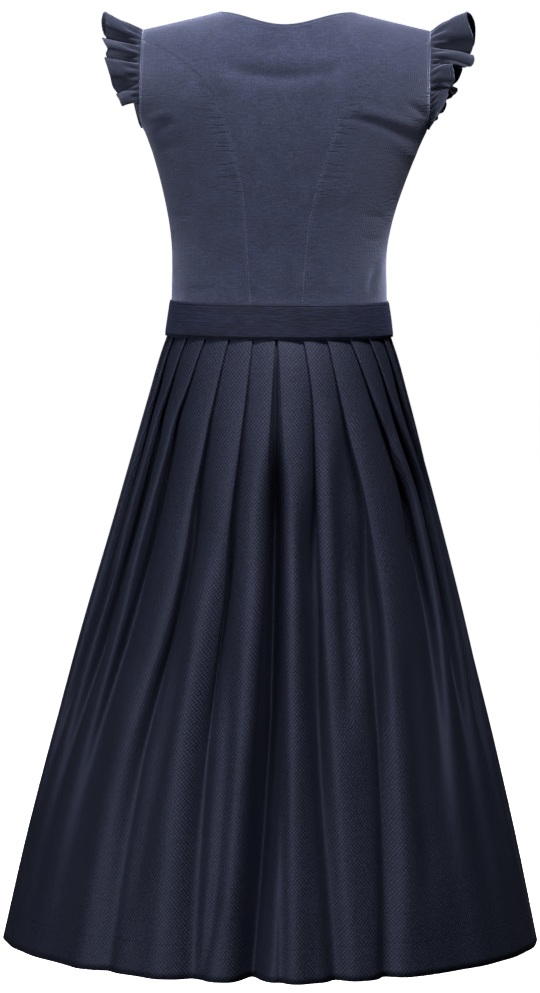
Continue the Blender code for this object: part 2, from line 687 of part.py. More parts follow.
def main():
    for thing in list(bpy.data.objects):
        bpy.data.objects.remove(thing, do_unlink=True)
    home = bpy.data.collections.new("dirndl")
    bpy.context.scene.collection.children.link(home)
    cord = material("Corduroy", CORD_COLOUR, 0.9)
    band_cloth = material("Slub band", BAND_COLOUR, 0.7)
    skirt_cloth = material("Figured skirt cloth", SKIRT_COLOUR, 0.6)
    button_metal = material("Aged metal", BUTTON_COLOUR, 0.4, 0.8)

    back_seam = (BACK_SEAM_COLUMNS, BACK_SEAM_ROWS)
    front_seam = (FRONT_SEAM_COLUMNS, FRONT_SEAM_ROWS)
    neck_share = NECK_HALF / TIP_HALF
    inner = np.linspace(0.0, neck_share, 4)
    outer = np.linspace(neck_share, 1.0, 6)[1:]
    half = np.concatenate([inner, outer])
    full = np.concatenate([-half[:0:-1], half])
    sheet("back_centre", back_centre_grid(full, back_seam), CORD_WALL, 1.0, cord, home)
    for side, word in ((1, "left"), (-1, "right")):
        grid = side_panel(1, side, BACK_ARM_LEVELS, back_seam, 7)
        sheet("side_back_" + word, grid, CORD_WALL, 1.0, cord, home)
        sheet("front_" + word, front_grid(side, 7, front_seam), CORD_WALL, 1.0, cord, home)
        grid = side_panel(-1, side, FRONT_ARM_LEVELS, front_seam, 6)
        sheet("side_front_" + word, grid, CORD_WALL, 1.0, cord, home)
        sheet("ruffle_" + word, frill_grid(side), FRILL_WALL, 0.0, cord, home)
    sheet("waistband", waistband_grid(), BAND_WALL, 1.0, band_cloth, home)
    back, front = skirt_grids()
    sheet("skirt_back", back, SKIRT_WALL, 0.0, skirt_cloth, home)
    sheet("skirt_front", front, SKIRT_WALL, 0.0, skirt_cloth, home)
    for k in range(BUTTON_COUNT):
        height = BUTTON_TOP + (BUTTON_BOTTOM - BUTTON_TOP) * k / (BUTTON_COUNT - 1)
        button("button_%d" % (k + 1), height, LAP_RAISE, button_metal, home)
    band_middle = 0.5 * (BAND_TOP + BAND_BOTTOM)
    band_build = BAND_CLEAR + LAP_RAISE + BAND_LAP_RAISE + BAND_WALL - CORD_WALL + BAND_BUTTON_CLEAR
    button("band_button", band_middle, band_build, button_metal, home)


main()
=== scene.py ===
"""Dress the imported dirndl: folded and woven cloth, seams, hems and buttons, and a white studio.

Sizes in the tables are millimetres and the meshes are metres, in the same frame as the solids:
the origin is midway between the neck points, +Z is up, the front faces -Y and the wearer's left
is +X. The forms of bodice, frills, band and pleats are the same named surfaces as in the solids,
on finer grids.
"""

import math

import bpy
import numpy as np
from mathutils import Matrix, Vector


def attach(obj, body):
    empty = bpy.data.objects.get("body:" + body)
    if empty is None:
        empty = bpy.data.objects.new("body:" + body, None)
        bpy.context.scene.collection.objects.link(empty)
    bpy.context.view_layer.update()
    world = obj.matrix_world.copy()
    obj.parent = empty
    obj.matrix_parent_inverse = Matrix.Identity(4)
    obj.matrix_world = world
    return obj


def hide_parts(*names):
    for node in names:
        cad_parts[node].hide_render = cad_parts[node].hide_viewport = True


bl_info = {
    "name": "Dirndl cloth and studio",
    "version": (1, 0, 0),
    "blender": (4, 5, 0),
    "location": "3D View > Sidebar > Dirndl",
    "description": "Makes the cloth, seams, hems and buttons of a dirndl round its solids, and a studio",
    "category": "Object",
}

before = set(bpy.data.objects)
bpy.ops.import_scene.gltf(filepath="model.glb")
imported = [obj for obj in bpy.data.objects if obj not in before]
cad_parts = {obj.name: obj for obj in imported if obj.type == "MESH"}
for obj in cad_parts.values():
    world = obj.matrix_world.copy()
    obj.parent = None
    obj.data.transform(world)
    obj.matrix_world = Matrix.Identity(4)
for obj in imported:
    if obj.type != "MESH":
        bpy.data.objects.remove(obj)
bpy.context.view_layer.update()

MILLIMETRE = 0.001
JUST_OVER = 0.001

# Form of the bodice, as in the solids: walls and seams, the outline and depth of the body at each
# height, the reach of the princess seams and armholes, and the levels between which a panel is drawn
CORD_WALL = 1.2
FRILL_WALL = 1.0
BAND_WALL = 1.6
SKIRT_WALL = 1.0
SEAM_GAP = 0.04            # the cloths of a seam touch here, so that no light shows between them
SIDES = ((1, "left"), (-1, "right"))
UNDERARM = -140.0
SHOULDER_TIP = -21.5
CHEST = -115.0
NECK_HALF = 80.0
TIP_HALF = 170.0
NECK_RISE = 18.0
SHOULDER_BEND = 0.95
BACK_NECK_DROP = 15.0
FRONT_NECK_DROP = 128.0
SQUARENESS = 2.2
NECK_SQUARENESS = 2.2
ARCH = 2.2
BODY = (
    ("height", "half_width", "back_depth", "front_depth"),
    (-384.5, 133.4, 88, 99),
    (-343.5, 127.6, 84, 96.5),
    (-335, 127.1, 84, 97),
    (-317, 126.7, 85.3, 100.5),
    (-300, 126.3, 86.5, 104),
    (-280, 126.9, 88.5, 109),
    (-255, 130.2, 92, 115.5),
    (-230, 135.6, 96, 120),
    (-205, 142.6, 100, 121.5),
    (-180, 150.6, 103.5, 120.5),
    (-155, 159.8, 106, 117.5),
    (-140, 166.4, 107, 115.5),
    (-125, 174, 107.5, 113.5),
    (-100, 183, 107.5, 110.5),
    (-75, 187, 106.5, 108),
    (-50, 187, 105, 106),
    (20, 184, 104, 104),
)
BACK_SEAM = (
    ("height", "reach"),
    (-343.5, 30.5),
    (-291, 34),
    (-240, 38.5),
    (-216, 42),
    (-186, 48.5),
    (-159, 56),
    (-134, 63.5),
    (-111, 72.5),
    (-93, 83.5),
    (-76.5, 96.5),
    (-61.5, 113),
    (-48.5, 133),
    (-39.5, 152),
    (-34, 170),
)
FRONT_SEAM = (
    ("height", "reach"),
    (-343.5, 58),
    (-290, 71),
    (-240, 85),
    (-205, 93),
    (-163, 101.5),
    (-138, 108.5),
    (-115, 118),
    (-97, 129),
    (-80, 144),
    (-70, 158.9),
)
ARMHOLE = (
    ("height", "back_reach", "front_reach"),
    (-140, 166.4, 166.4),
    (-132, 168.8, 165.2),
    (-120, 170, 162.8),
    (-100, 170, 160),
    (-75, 170, 158.7),
    (-50, 170, 161.2),
    (-30, 170, 166.6),
    (-21.5, 170, 170),
)
BUST_HEIGHT = -222.0
BUST_REACH = 84.0
BUST_SPREAD = 44.0
BUST_FULLNESS = 13.0
BUST_EDGE = 1.6            # the fullness fades where the oval is under one part in this of its depth
LEAST_TURN = 0.004         # a side panel is at least this wide at the armhole, in turn of the oval
LOWER_LEVELS = (-343.5, -330.0, -305.0, -280.0, -255.0, -230.0, -205.0, -180.0, -157.0, -140.0)
BACK_ARM_LEVELS = (-137.5, -131.0, -118.0, -100.0, -82.0, -66.0, -52.0, -42.0, -34.0)
FRONT_ARM_LEVELS = (-137.5, -129.0, -126.5, -120.0, -108.0, -94.0, -81.0, -70.0)
BACK_TOP_LEVELS = (-28.0, -23.2, -21.8, -21.5)
FRONT_TOP_LEVELS = (-57.0, -45.0, -34.0, -28.0, -23.2, -21.8, -21.5)
STANCE = (
    ("height", "shift"),
    (-1110, 14),
    (-888, 12.5),
    (-586, 8.5),
    (-400, 7),
    (-335, 7),
    (-290, 7.3),
    (-246, 5.9),
    (-167, 1.9),
    (-60, 0.1),
    (0, 0),
)
BAND_TOP = -341.0
BAND_BOTTOM = -382.5
BAND_CLEAR = 1.7
TURNED_IN = 10.0           # seam allowances that lie inside the waist, level, under the band
TURNED_IN_HEIGHT = -377.6
TURNED_IN_WALL = 0.8
LAP = 13.0                 # how far a front passes the middle
LAP_RUN = 24.0
LAP_EASE = 2.0
LAP_CLEAR = 0.4
LAP_RAISE = CORD_WALL + LAP_CLEAR
BAND_LAP_RAISE = BAND_WALL + LAP_CLEAR
BAND_SWELL = 0.5           # how far the band stands out and in unevenly, and its rolled edges in
BAND_SWELL_RUN = 31.0
BAND_DRIFT = 1.7           # how much, and over what length, that unevenness crowds and spreads
BAND_DRIFT_RUN = 77.0
BAND_EDGE = 0.08           # share of its height over which the band's edges roll in
BAND_COLUMNS = 240
BAND_ROWS = 13
RING_STEPS = 2880          # an even number of steps round an oval, from centre front
NORMAL_STEP = 0.8          # length to either side over which the oval's normal is taken
TURNED_IN_ROWS = 5

# Soft folds pressed into the bodice by wear: a bent line through three points, each as reach
# towards the wearer's left and height, how far it stands out (a trough is negative), half width
CREASE_COLUMNS = ("reach_a", "height_a", "reach_b", "height_b", "reach_c", "height_c", "stand", "width")
CREASE_FADE = 0.35         # share of its length over which a crease fades at each end
CREASE_POINTS = 33
EDGE_HOLD = 0.35           # how much of a crease a panel's edges take, so that seams stay closed
FRONT_RULE = 0.3           # a panel's wales stand upright at this share of the body's half width
SIDE_RULE = 0.72
CENTRE_COLUMNS = (25, 27)  # grid columns of the half back under the neck and under the shoulder
SIDE_BACK_COLUMNS = 40
FRONT_COLUMNS = 38
SIDE_FRONT_COLUMNS = 34
BACK_CREASES = (
    (108, -50, 2, -76, -98, -53, -3.6, 7.5),
    (92, -36, 2, -59, -84, -40, 2.2, 10),
    (48, -84, 0, -92, -40, -86, 0.7, 7),
    (53, -15, 2, -23, -49, -15, -0.9, 2.6),
    (-70, -114, -121, -121, -163, -141, 1.8, 6),
    (-64, -123, -110, -130, -166, -157, -2.1, 4.2),
    (-140, -104, -155, -112, -171, -125, -1.6, 4),
    (-120, -146, -140, -158, -158, -176, 0.8, 7),
    (167, -150, 151, -137, 120, -127, -1.8, 5),
    (164, -134, 148, -124, 122, -116, 1.3, 6),
    (158, -168, 140, -160, 112, -158, -0.7, 5),
    (-104, -330, -112, -308, -120, -286, -1.7, 4),
    (-112, -338, -118, -314, -125, -292, 1.4, 4),
    (-98, -340, -104, -318, -108, -300, 0.8, 4),
    (112, -340, 118, -322, 124, -300, -1, 4),
    (98, -236, 116, -240, 134, -236, -0.6, 3),
    (-92, -232, -110, -238, -128, -240, -0.7, 3),
    (-96, -262, -110, -266, -122, -264, -0.6, 3),
    (70, -318, 90, -326, 108, -324, -0.7, 4),
    (-44, -322, -68, -330, -92, -326, -0.6, 4),
    (26, -334, 0, -337, -26, -334, -0.5, 3),
)
FRONT_CREASES = (
    (96, -142, 126, -147, 156, -158, -1.9, 5),
    (-98, -140, -128, -147, -158, -162, -2.1, 5),
    (98, -130, 130, -134, 158, -144, 1.3, 6),
    (-100, -128, -130, -134, -160, -148, 1.4, 6),
    (70, -292, 96, -300, 118, -318, -1.3, 5),
    (-70, -288, -94, -300, -116, -322, -1.3, 5),
    (60, -310, 84, -322, 110, -342, 0.9, 6),
    (-62, -312, -86, -322, -108, -340, 0.9, 6),
    (20, -276, 48, -272, 74, -264, -0.9, 5),
    (-20, -270, -48, -268, -74, -262, -0.9, 5),
    (112, -64, 134, -74, 150, -92, -1.2, 6),
    (-112, -66, -132, -78, -150, -96, -1.2, 6),
    (24, -200, 44, -206, 62, -204, -0.7, 4),
    (-24, -232, -44, -236, -60, -232, -0.7, 4),
)

# Cap frills: places along the free edge, by the share of the armhole line from its back end that
# the cloth there is gathered to: how far out from the middle, how far back, and its height. The
# edge runs up the back, over the shoulder and down the front, in folds that lap over each other.
LEFT_FRILL = (
    ("along", "edge_out", "edge_back", "edge_height"),
    (0.000, 170, 14, -136),
    (0.030, 172, 21, -131),
    (0.060, 174, 24, -124),
    (0.085, 177, 24, -113),
    (0.100, 180, 22, -102),
    (0.125, 186, 34, -105),
    (0.145, 191, 40, -110),
    (0.165, 195, 40, -102),
    (0.178, 198.5, 33, -97.5),
    (0.200, 198, 23, -95.5),
    (0.221, 203.5, 31, -86.5),
    (0.235, 205, 42, -77),
    (0.255, 209, 42, -64),
    (0.275, 213, 30, -54),
    (0.292, 209, 6, -60),
    (0.308, 212, 24, -50),
    (0.323, 209, 40, -43),
    (0.336, 213, 38, -36),
    (0.346, 216.5, 26, -31),
    (0.362, 214, 6, -35),
    (0.380, 211.5, 22, -25),
    (0.400, 211, 34, -15),
    (0.420, 212.5, 24, -2),
    (0.440, 216, 6, -0.5),
    (0.465, 219, -10, -4),
    (0.490, 221, -22, -12),
    (0.515, 219, -26, -24),
    (0.535, 213, -14, -32),
    (0.555, 214, -32, -34),
    (0.585, 211, -44, -45),
    (0.610, 207, -28, -54),
    (0.635, 208, -46, -56),
    (0.665, 203, -56, -68),
    (0.690, 199, -38, -76),
    (0.715, 199, -56, -79),
    (0.750, 194, -66, -90),
    (0.775, 189, -50, -96),
    (0.800, 187, -66, -99),
    (0.840, 178, -70, -110),
    (0.865, 176, -56, -113),
    (0.890, 174, -64, -118),
    (0.930, 173, -57, -125),
    (0.965, 171, -42, -131),
    (1.000, 170.5, -24, -136.5),
)
RIGHT_FRILL = (
    ("along", "edge_out", "edge_back", "edge_height"),
    (0.000, 170, 14, -136),
    (0.035, 176, 30, -127),
    (0.070, 181, 38, -119),
    (0.100, 187, 41, -109),
    (0.130, 191, 38, -98),
    (0.155, 193, 30, -89),
    (0.170, 199, 14, -95),
    (0.181, 203, 8, -89),
    (0.195, 194, 26, -85),
    (0.213, 199, 38, -80),
    (0.228, 198, 41, -69),
    (0.248, 196, 38, -60),
    (0.272, 204, 16, -62.5),
    (0.288, 212, 12, -62.5),
    (0.302, 212, 27, -61.5),
    (0.314, 219, 36, -61),
    (0.326, 222, 36, -54),
    (0.338, 220, 26, -49),
    (0.353, 213, 3, -54),
    (0.370, 219, 20, -43),
    (0.390, 220, 36, -29),
    (0.410, 215, 36, -13),
    (0.430, 212, 24, 0.5),
    (0.450, 217, 6, -0.5),
    (0.475, 222, -10, -10),
    (0.500, 223, -22, -24),
    (0.525, 221, -26, -37),
    (0.545, 214, -14, -44),
    (0.565, 217, -34, -46),
    (0.595, 215, -46, -56),
    (0.620, 208, -30, -62),
    (0.645, 208, -50, -66),
    (0.675, 203, -60, -78),
    (0.700, 197, -42, -84),
    (0.725, 199, -58, -88),
    (0.760, 196, -68, -98),
    (0.785, 188, -52, -102),
    (0.810, 190, -68, -106),
    (0.845, 186, -70, -116),
    (0.870, 180, -56, -118),
    (0.900, 180, -64, -124),
    (0.935, 175, -56, -127),
    (0.970, 171.5, -40, -131.5),
    (1.000, 170.5, -24, -136.5),
)
LEFT_FRILL_BOW = 0.5       # how far the cloth rises above the straight line from seam to free edge
RIGHT_FRILL_BOW = 3.5
FRILL_END = -136.0
ARM_CLIMB = 1.6            # above 1 the armhole's points lie closer together near the shoulder
ARM_POINTS = 240
FRILL_CLEAR = 0.1          # as close as this to the armhole, so that no light shows between them
GATHER_SWING = 1.9
GATHER_WAVES = 41.0
GATHER_WIDTH = 34.0        # a frill at least this wide has its full gathers and bow
GATHER_DRIFT = (0.8, 9.0)  # how much, and how fast along the armhole, the gathers crowd and spread
GATHER_RISE = 1.6          # they are fullest at about a third of the frill's width
FRILL_COLUMN_COUNT = 560
FRILL_ROW_COUNT = 30
HEM_RADIUS = 1.0
HEM_SIDES = 8

# Skirt: form at each level, then where the pleat folds lie as shares of the half width
SKIRT_TOP = -379.5
HEM = -1110.0
SKIRT = (
    ("height", "half_width", "back_depth", "front_depth",
     "squareness", "fold_depth", "layer_lift", "softness"),
    (-379.5, 132, 86.6, 97.6, 2.20, 21, 2, 0.7),
    (-400.5, 139.4, 96.5, 103, 2.18, 20, 2.2, 0.9),
    (-455, 155, 116.5, 114.5, 2.14, 17, 4.4, 1.1),
    (-525, 175.1, 140, 131.5, 2.10, 13, 8.5, 1.9),
    (-620, 201.9, 168, 152.5, 2.04, 8, 12.5, 3.4),
    (-735, 234, 199, 176.5, 1.98, 4, 11.5, 6),
    (-860, 267.4, 230, 201, 1.92, 1.5, 8, 10),
    (-990, 299.3, 260.5, 226, 1.88, 0.5, 5, 14),
    (-1110, 325.2, 287, 247, 1.86, 0.5, 3, 18),
)
LEFT_FOLDS = (
    ("height", "fold_0", "fold_1", "fold_2", "fold_3"),
    (-379.5, 0.004, 0.208, 0.420, 0.634),
    (-441, 0.020, 0.219, 0.460, 0.695),
    (-475, 0.026, 0.229, 0.478, 0.734),
    (-510, 0.032, 0.237, 0.487, 0.742),
    (-567, 0.034, 0.250, 0.500, 0.758),
    (-635, 0.030, 0.256, 0.500, 0.772),
    (-705, 0.032, 0.265, 0.520, 0.770),
    (-795, 0.038, 0.280, 0.560, 0.785),
    (-895, 0.050, 0.285, 0.585, 0.800),
    (-1110, 0.075, 0.290, 0.600, 0.810),
)
RIGHT_FOLDS = (
    ("height", "fold_0", "fold_1", "fold_2", "fold_3"),
    (-379.5, 0.012, 0.241, 0.450, 0.650),
    (-429, 0.038, 0.282, 0.488, 0.722),
    (-475, 0.056, 0.300, 0.527, 0.785),
    (-509, 0.070, 0.304, 0.552, 0.832),
    (-555, 0.080, 0.302, 0.580, 0.880),
    (-615, 0.082, 0.292, 0.600, 0.890),
    (-685, 0.080, 0.284, 0.600, 0.880),
    (-775, 0.072, 0.280, 0.575, 0.840),
    (-895, 0.066, 0.276, 0.530, 0.785),
    (-1110, 0.060, 0.285, 0.500, 0.760),
)
FOLDS_A_SIDE = 13
FRONT_FACE_BAND = 62.0
FRONT_FACE_HEM = 120.0
SIDE_SEAM_FOLD = 6
FACE_PARTS = (0.25, 0.5, 0.75)
FACE_BEND = 1.9            # a pleat's face is level beside its fold and steeper away from it
CENTRE_DEPTH = 16.0        # how much deeper the gap at centre back lies where it is at its full width
CENTRE_WIDTH = 16.0
UNDER_SHARE = 0.78         # a pleat turns under by at most this share of the pitch
FOLD_ROUND = 1.6           # cloth that a fold's bend takes, and more for each unit of softness
FOLD_ROUND_MORE = 1.3
TURN_SHARE = 0.38
FACE_SHARE = 0.3
LAST_PARTS = (0.0, 0.35, 0.7, 1.0)
ROW_CROWDING = 1.15        # above 1 the skirt's rows lie closer together near the band
SOFTEN_SAMPLES = 8192
SKIRT_ROW_COUNT = 98
SKIRT_PARTS = 4            # columns between two stations of the folded cloth

# Troughs and ridges in the hang of the skirt: three points as share of the half width and
# height, how far it stands out and its half width. Shares grow towards the wearer's left.
HANG_COLUMNS = ("share_a", "height_a", "share_b", "height_b", "share_c", "height_c", "stand", "width")
HANG_ABOVE = 70.0          # a hang starts this far above its first point and grows over its run
HANG_RUN = 110.0
HANG_FADE = 90.0
LEAST_LEAN = 0.06          # keeps a hang from growing endlessly wide at the skirt's sides
BACK_HANGS = (
    (-0.02, -560, -0.025, -815, 0.04, -1120, -32, 13),
    (-0.215, -600, -0.25, -850, -0.28, -1120, -15, 12),
    (-0.535, -640, -0.525, -850, -0.455, -1120, -14, 12),
    (0.26, -660, 0.28, -850, 0.25, -1120, -13, 12),
    (0.42, -740, 0.455, -855, 0.51, -1080, -5, 10),
    (0.50, -700, 0.55, -855, 0.56, -1120, -6, 10),
    (0.185, -760, 0.165, -860, 0.17, -1000, -3.5, 7),
    (-0.425, -635, -0.41, -740, -0.35, -860, -7, 9),
    (-0.69, -760, -0.655, -880, -0.63, -1060, -4, 12),
    (-0.085, -860, -0.08, -970, -0.075, -1110, -5, 6),
    (0.095, -700, 0.10, -850, 0.115, -1080, 6, 13),
    (-0.13, -660, -0.135, -850, -0.135, -1120, 5, 13),
    (-0.59, -700, -0.565, -855, -0.53, -1100, 3, 20),
    (-0.83, -700, -0.78, -860, -0.72, -1080, 1.5, 18),
    (0.37, -700, 0.38, -860, 0.37, -1120, 5, 15),
    (0.64, -800, 0.65, -950, 0.655, -1120, 4, 16),
    (0.46, -600, 0.465, -670, 0.485, -740, -5, 5),
    (0.72, -600, 0.725, -660, 0.73, -720, -5, 5),
    (0.89, -640, 0.905, -705, 0.92, -780, -4, 7),
    (-0.82, -500, -0.82, -570, -0.77, -660, -5, 5),
    (-0.505, -500, -0.485, -590, -0.43, -720, -5, 9),
    (0.17, -990, 0.19, -1065, 0.215, -1120, -5, 7),
    (-0.305, -500, -0.28, -588, -0.25, -700, -9, 6),
    (-0.44, -545, -0.43, -646, -0.40, -793, -9, 12),
)
FRONT_HANGS = (
    (0.120, -760, 0.150, -900, 0.170, -1120, -3, 12),
    (-0.140, -720, -0.150, -900, -0.130, -1120, -3.5, 12),
    (0.330, -700, 0.360, -880, 0.370, -1120, -5, 10),
    (-0.350, -740, -0.330, -900, -0.360, -1120, -5, 10),
    (0.520, -760, 0.540, -900, 0.530, -1120, 4, 11),
    (-0.500, -740, -0.540, -900, -0.520, -1120, 4, 11),
    (0.700, -780, 0.720, -930, 0.740, -1120, -4, 10),
    (-0.690, -760, -0.730, -920, -0.720, -1120, -4.5, 10),
    (0.880, -760, 0.900, -920, 0.910, -1120, 3, 9),
    (-0.870, -740, -0.900, -900, -0.900, -1120, 3, 9),
)

# Buttons
BUTTON_RADIUS = 6.0
BUTTON_HEIGHT = 3.4
BUTTON_COUNT = 7
BUTTON_TOP = -138.0
BUTTON_BOTTOM = -332.0
BUTTON_CLEAR = 0.5
BAND_BUTTON_CLEAR = 1.8
BUTTON_SIDES = 32
# Outline of a button from the middle of its dome over the rolled rim to its foot, as shares of
# its radius and height
BUTTON_PROFILE = (
    (0.00, 0.92), (0.18, 0.91), (0.36, 0.86), (0.52, 0.76), (0.62, 0.64), (0.67, 0.56), (0.72, 0.55),
    (0.80, 0.62), (0.90, 0.60), (0.98, 0.42), (1.00, 0.26), (0.96, 0.10), (0.90, 0.00), (0.0, 0.0),
)
BUTTON_LEVEL = 3.0         # a button lies square to the cloth between this far above and below it
HOLE_HALF = 9.0            # buttonhole: a narrow closed ring of stitches under the button
HOLE_HALF_WIDTH = 1.5
HOLE_SQUARENESS = 0.6
BAND_HOLE_DROP = 0.9       # how much nearer the cloth the band's buttonhole lies under its button
THREAD_RADIUS = 0.5
THREAD_SIDES = 6
HOLE_POINTS = 61

# Looks: stitch length in metres, the values that the corduroy's meshes carry for its material,
# in millimetres or as shares, and a distance that stands for far from any edge
STITCH_LENGTH = 0.0036
CORD_VALUES = ("edge_mm", "seam_mm", "under_arm", "frill")
FAR_OFF = 60.0
CHUNK = 200                # points of a line that are taken at once, to save memory
LENGTH_POINTS = 40         # points along a level line of the bodice when its length is taken

# Studio, in metres: name, place, aim, size across and up, and power of each soft light in watts
LIGHTS = (
    ("top_light", (-0.35, 1.1, 2.1), (0.0, 0.0, -0.1), (1.4, 0.9), 168.0),
    ("front_light", (1.8, 2.85, -0.1), (0.0, 0.0, -0.6), (1.6, 1.6), 84.0),
    ("far_light", (0.0, -3.2, 0.3), (0.0, 0.0, -0.6), (1.2, 1.8), 125.0),
)
SKY_LIGHT = 0.04
CAMERA_AWAY = 5.2
CAMERA_TURN = 2.2          # degrees round from straight behind
CAMERA_HEIGHT = -0.1001
CAMERA_AIM = (0.0168, 0.0, -0.5756)
CAMERA_ROLL = 0.3          # degrees
CAMERA_LENS = 158.1        # millimetres on a sensor 36 mm wide


def look_up(table, name, at):
    """Smooth curve through one named column of a table, by its first column.

    The curve is a cubic between two rows, with the slopes there from the rows on either side.
    """
    rows = np.array(sorted(table[1:]), dtype=float)
    known = rows[:, 0]
    value = rows[:, table[0].index(name)]
    slope = np.gradient(value, known)
    at = np.clip(np.asarray(at, dtype=float), known[0], known[-1])
    left = np.clip(np.searchsorted(known, at, side="right") - 1, 0, len(known) - 2)
    step = known[left + 1] - known[left]
    t = (at - known[left]) / step
    start = value[left] * (1 + 2 * t) * (1 - t) ** 2 + value[left + 1] * t * t * (3 - 2 * t)
    bend = slope[left] * step * t * (1 - t) ** 2 - slope[left + 1] * step * t * t * (1 - t)
    return start + bend


def smoothstep(t):
    """0 to 1 along 3t squared less 2t cubed."""
    t = np.clip(t, 0.0, 1.0)
    return t * t * (3 - 2 * t)


def unit(vectors):
    """The same vectors at length one."""
    return vectors / np.maximum(np.linalg.norm(vectors, axis=-1), 1e-9)[..., None]


def pairs(across, along):
    """Two arrays brought to one shape and paired at each point, as a UV map is."""
    return np.stack(np.broadcast_arrays(across, along), axis=-1)


def lap_share(distance):
    """1 over the lapped fronts, falling smoothly to 0 beside them, by the distance from the middle."""
    return 1 - smoothstep((distance - LAP - LAP_EASE) / LAP_RUN)


def stand(points):
    """The same points in the wearer's stance, each level shifted sideways."""
    points = np.array(points, dtype=float)
    points[..., 0] += look_up(STANCE, "shift", points[..., 2])
    return points


def finer(levels, step):
    """The same levels with even ones put between, none further apart than the step."""
    levels = np.array(levels, dtype=float)
    parts = [levels[:1]]
    for low, high in zip(levels[:-1], levels[1:]):
        count = max(1, math.ceil(abs(high - low) / step))
        parts.append(np.linspace(low, high, count + 1)[1:])
    return np.concatenate(parts)


def shoulder_height(x):
    """Height of the shoulder line, and of the closed body's top between the neck points."""
    x = np.abs(x)
    slope = SHOULDER_TIP * (np.maximum(x - NECK_HALF, 0.0) / (TIP_HALF - NECK_HALF)) ** SHOULDER_BEND
    crown = NECK_RISE * (1 - np.minimum(x / NECK_HALF, 1.0) ** 2)
    return slope + crown


def body_surface(x, height, face):
    """Inside face of the bodice: depth times a rounded oval of x times an arch over the shoulder."""
    x, height = np.broadcast_arrays(np.asarray(x, float), np.asarray(height, float))
    half = look_up(BODY, "half_width", height)
    depth = look_up(BODY, "back_depth" if face > 0 else "front_depth", height)
    oval = (1 - np.minimum(np.abs(x) / half, 1.0) ** SQUARENESS) ** (1 / SQUARENESS)
    top = np.clip((height - CHEST) / (shoulder_height(x) - CHEST), 0.0, 1.0)
    y = depth * oval * (1 - top ** ARCH) ** (1 / ARCH)
    if face < 0:
        away = ((np.abs(x) - BUST_REACH) ** 2 + (height - BUST_HEIGHT) ** 2) / BUST_SPREAD ** 2
        y = y + BUST_FULLNESS * np.exp(-away) * np.minimum(oval * BUST_EDGE, 1.0)
    return np.stack([x, face * y, height], axis=-1)


def seam_reach(table, height):
    """Reach of a princess seam, and the half gap that keeps its two panels apart."""
    reach = look_up(table, "reach", height)
    lean = look_up(table, "reach", height + 1.0) - reach
    return reach, 0.5 * SEAM_GAP * np.sqrt(1 + lean ** 2)


def armhole_reach(height, face):
    """How far from the middle the armhole's cut edge lies."""
    name = "back_reach" if face > 0 else "front_reach"
    return look_up(ARMHOLE, name, height)


def panel_edge(face, arm_levels, top_levels, seam_table, step):
    """Levels of a panel that holds a shoulder, and its outer edge: the seam, then the armhole."""
    levels = finer(LOWER_LEVELS + arm_levels + top_levels, step)
    reach, half_gap = seam_reach(seam_table, levels)
    edge = np.where(levels <= arm_levels[-1], reach - half_gap, armhole_reach(levels, face))
    return levels, edge


def back_centre_grid(across, step):
    """Middle back: each row keeps its share of the height from the waist up to the top edge."""
    levels, edge = panel_edge(1, BACK_ARM_LEVELS, BACK_TOP_LEVELS, BACK_SEAM, step)
    rise = (levels - levels[0]) / (levels[-1] - levels[0])
    top_x = across * TIP_HALF
    neck_part = np.minimum(np.abs(top_x) / NECK_HALF, 1.0)
    neck = -BACK_NECK_DROP * 0.5 * (1 + np.cos(np.pi * neck_part))
    top = np.where(neck_part < 1.0, neck, shoulder_height(top_x))
    height = levels[0] + rise[:, None] * (top[None, :] - levels[0])
    grid = body_surface(across[None, :] * edge[:, None], height, 1)
    grid[-1, neck_part >= 1 - JUST_OVER, 1] += 0.5 * SEAM_GAP
    return grid


def front_grid(side, count, step):
    """One front, from the lap and the neckline, a quarter oval, out to the seam and the armhole."""
    levels, edge = panel_edge(-1, FRONT_ARM_LEVELS, FRONT_TOP_LEVELS, FRONT_SEAM, step)
    part = np.linspace(0.0, 1.0, count)
    tilt = smoothstep((levels + FRONT_NECK_DROP) / (FRONT_NECK_DROP + SHOULDER_TIP))
    slope = SHOULDER_TIP * (part ** SHOULDER_BEND - 1)
    height = levels[:, None] + tilt[:, None] * slope[None, :]
    drop = np.clip(-height[:, 0] / FRONT_NECK_DROP, 0.0, 1.0)
    inner = np.where(levels < -FRONT_NECK_DROP, -LAP, NECK_HALF * (1 - drop ** 2) ** (1 / NECK_SQUARENESS))
    x = inner[:, None] + (edge - inner)[:, None] * part[None, :]
    grid = body_surface(x, height, -1)
    grid[-1, :, 1] -= 0.5 * SEAM_GAP
    if side < 0:
        grid[..., 1] -= LAP_RAISE * lap_share(grid[..., 0])
    grid[..., 0] *= side
    return grid


def side_panel(face, side, arm_levels, seam_table, count, step):
    """Panel under the arm, from the princess seam to the side seam and the armhole."""
    levels = finer(LOWER_LEVELS + arm_levels, step)
    reach, half_gap = seam_reach(seam_table, levels)
    half = look_up(BODY, "half_width", levels)
    outer = np.where(levels <= UNDERARM, half, armhole_reach(levels, face))
    start = np.arcsin(np.minimum((reach + half_gap) / half, 1.0) ** (SQUARENESS / 2))
    end = np.arcsin(np.minimum(outer / half, 1.0) ** (SQUARENESS / 2))
    end = np.where(levels <= UNDERARM, math.pi / 2, np.maximum(end, start + LEAST_TURN))
    turn = start[:, None] + (end - start)[:, None] * np.linspace(0.0, 1.0, count)[None, :]
    x = half[:, None] * np.sin(turn) ** (2 / SQUARENESS)
    grid = body_surface(x, levels[:, None], face)
    grid[levels <= UNDERARM, -1, 1] = face * 0.5 * SEAM_GAP
    grid[..., 0] *= side
    return grid


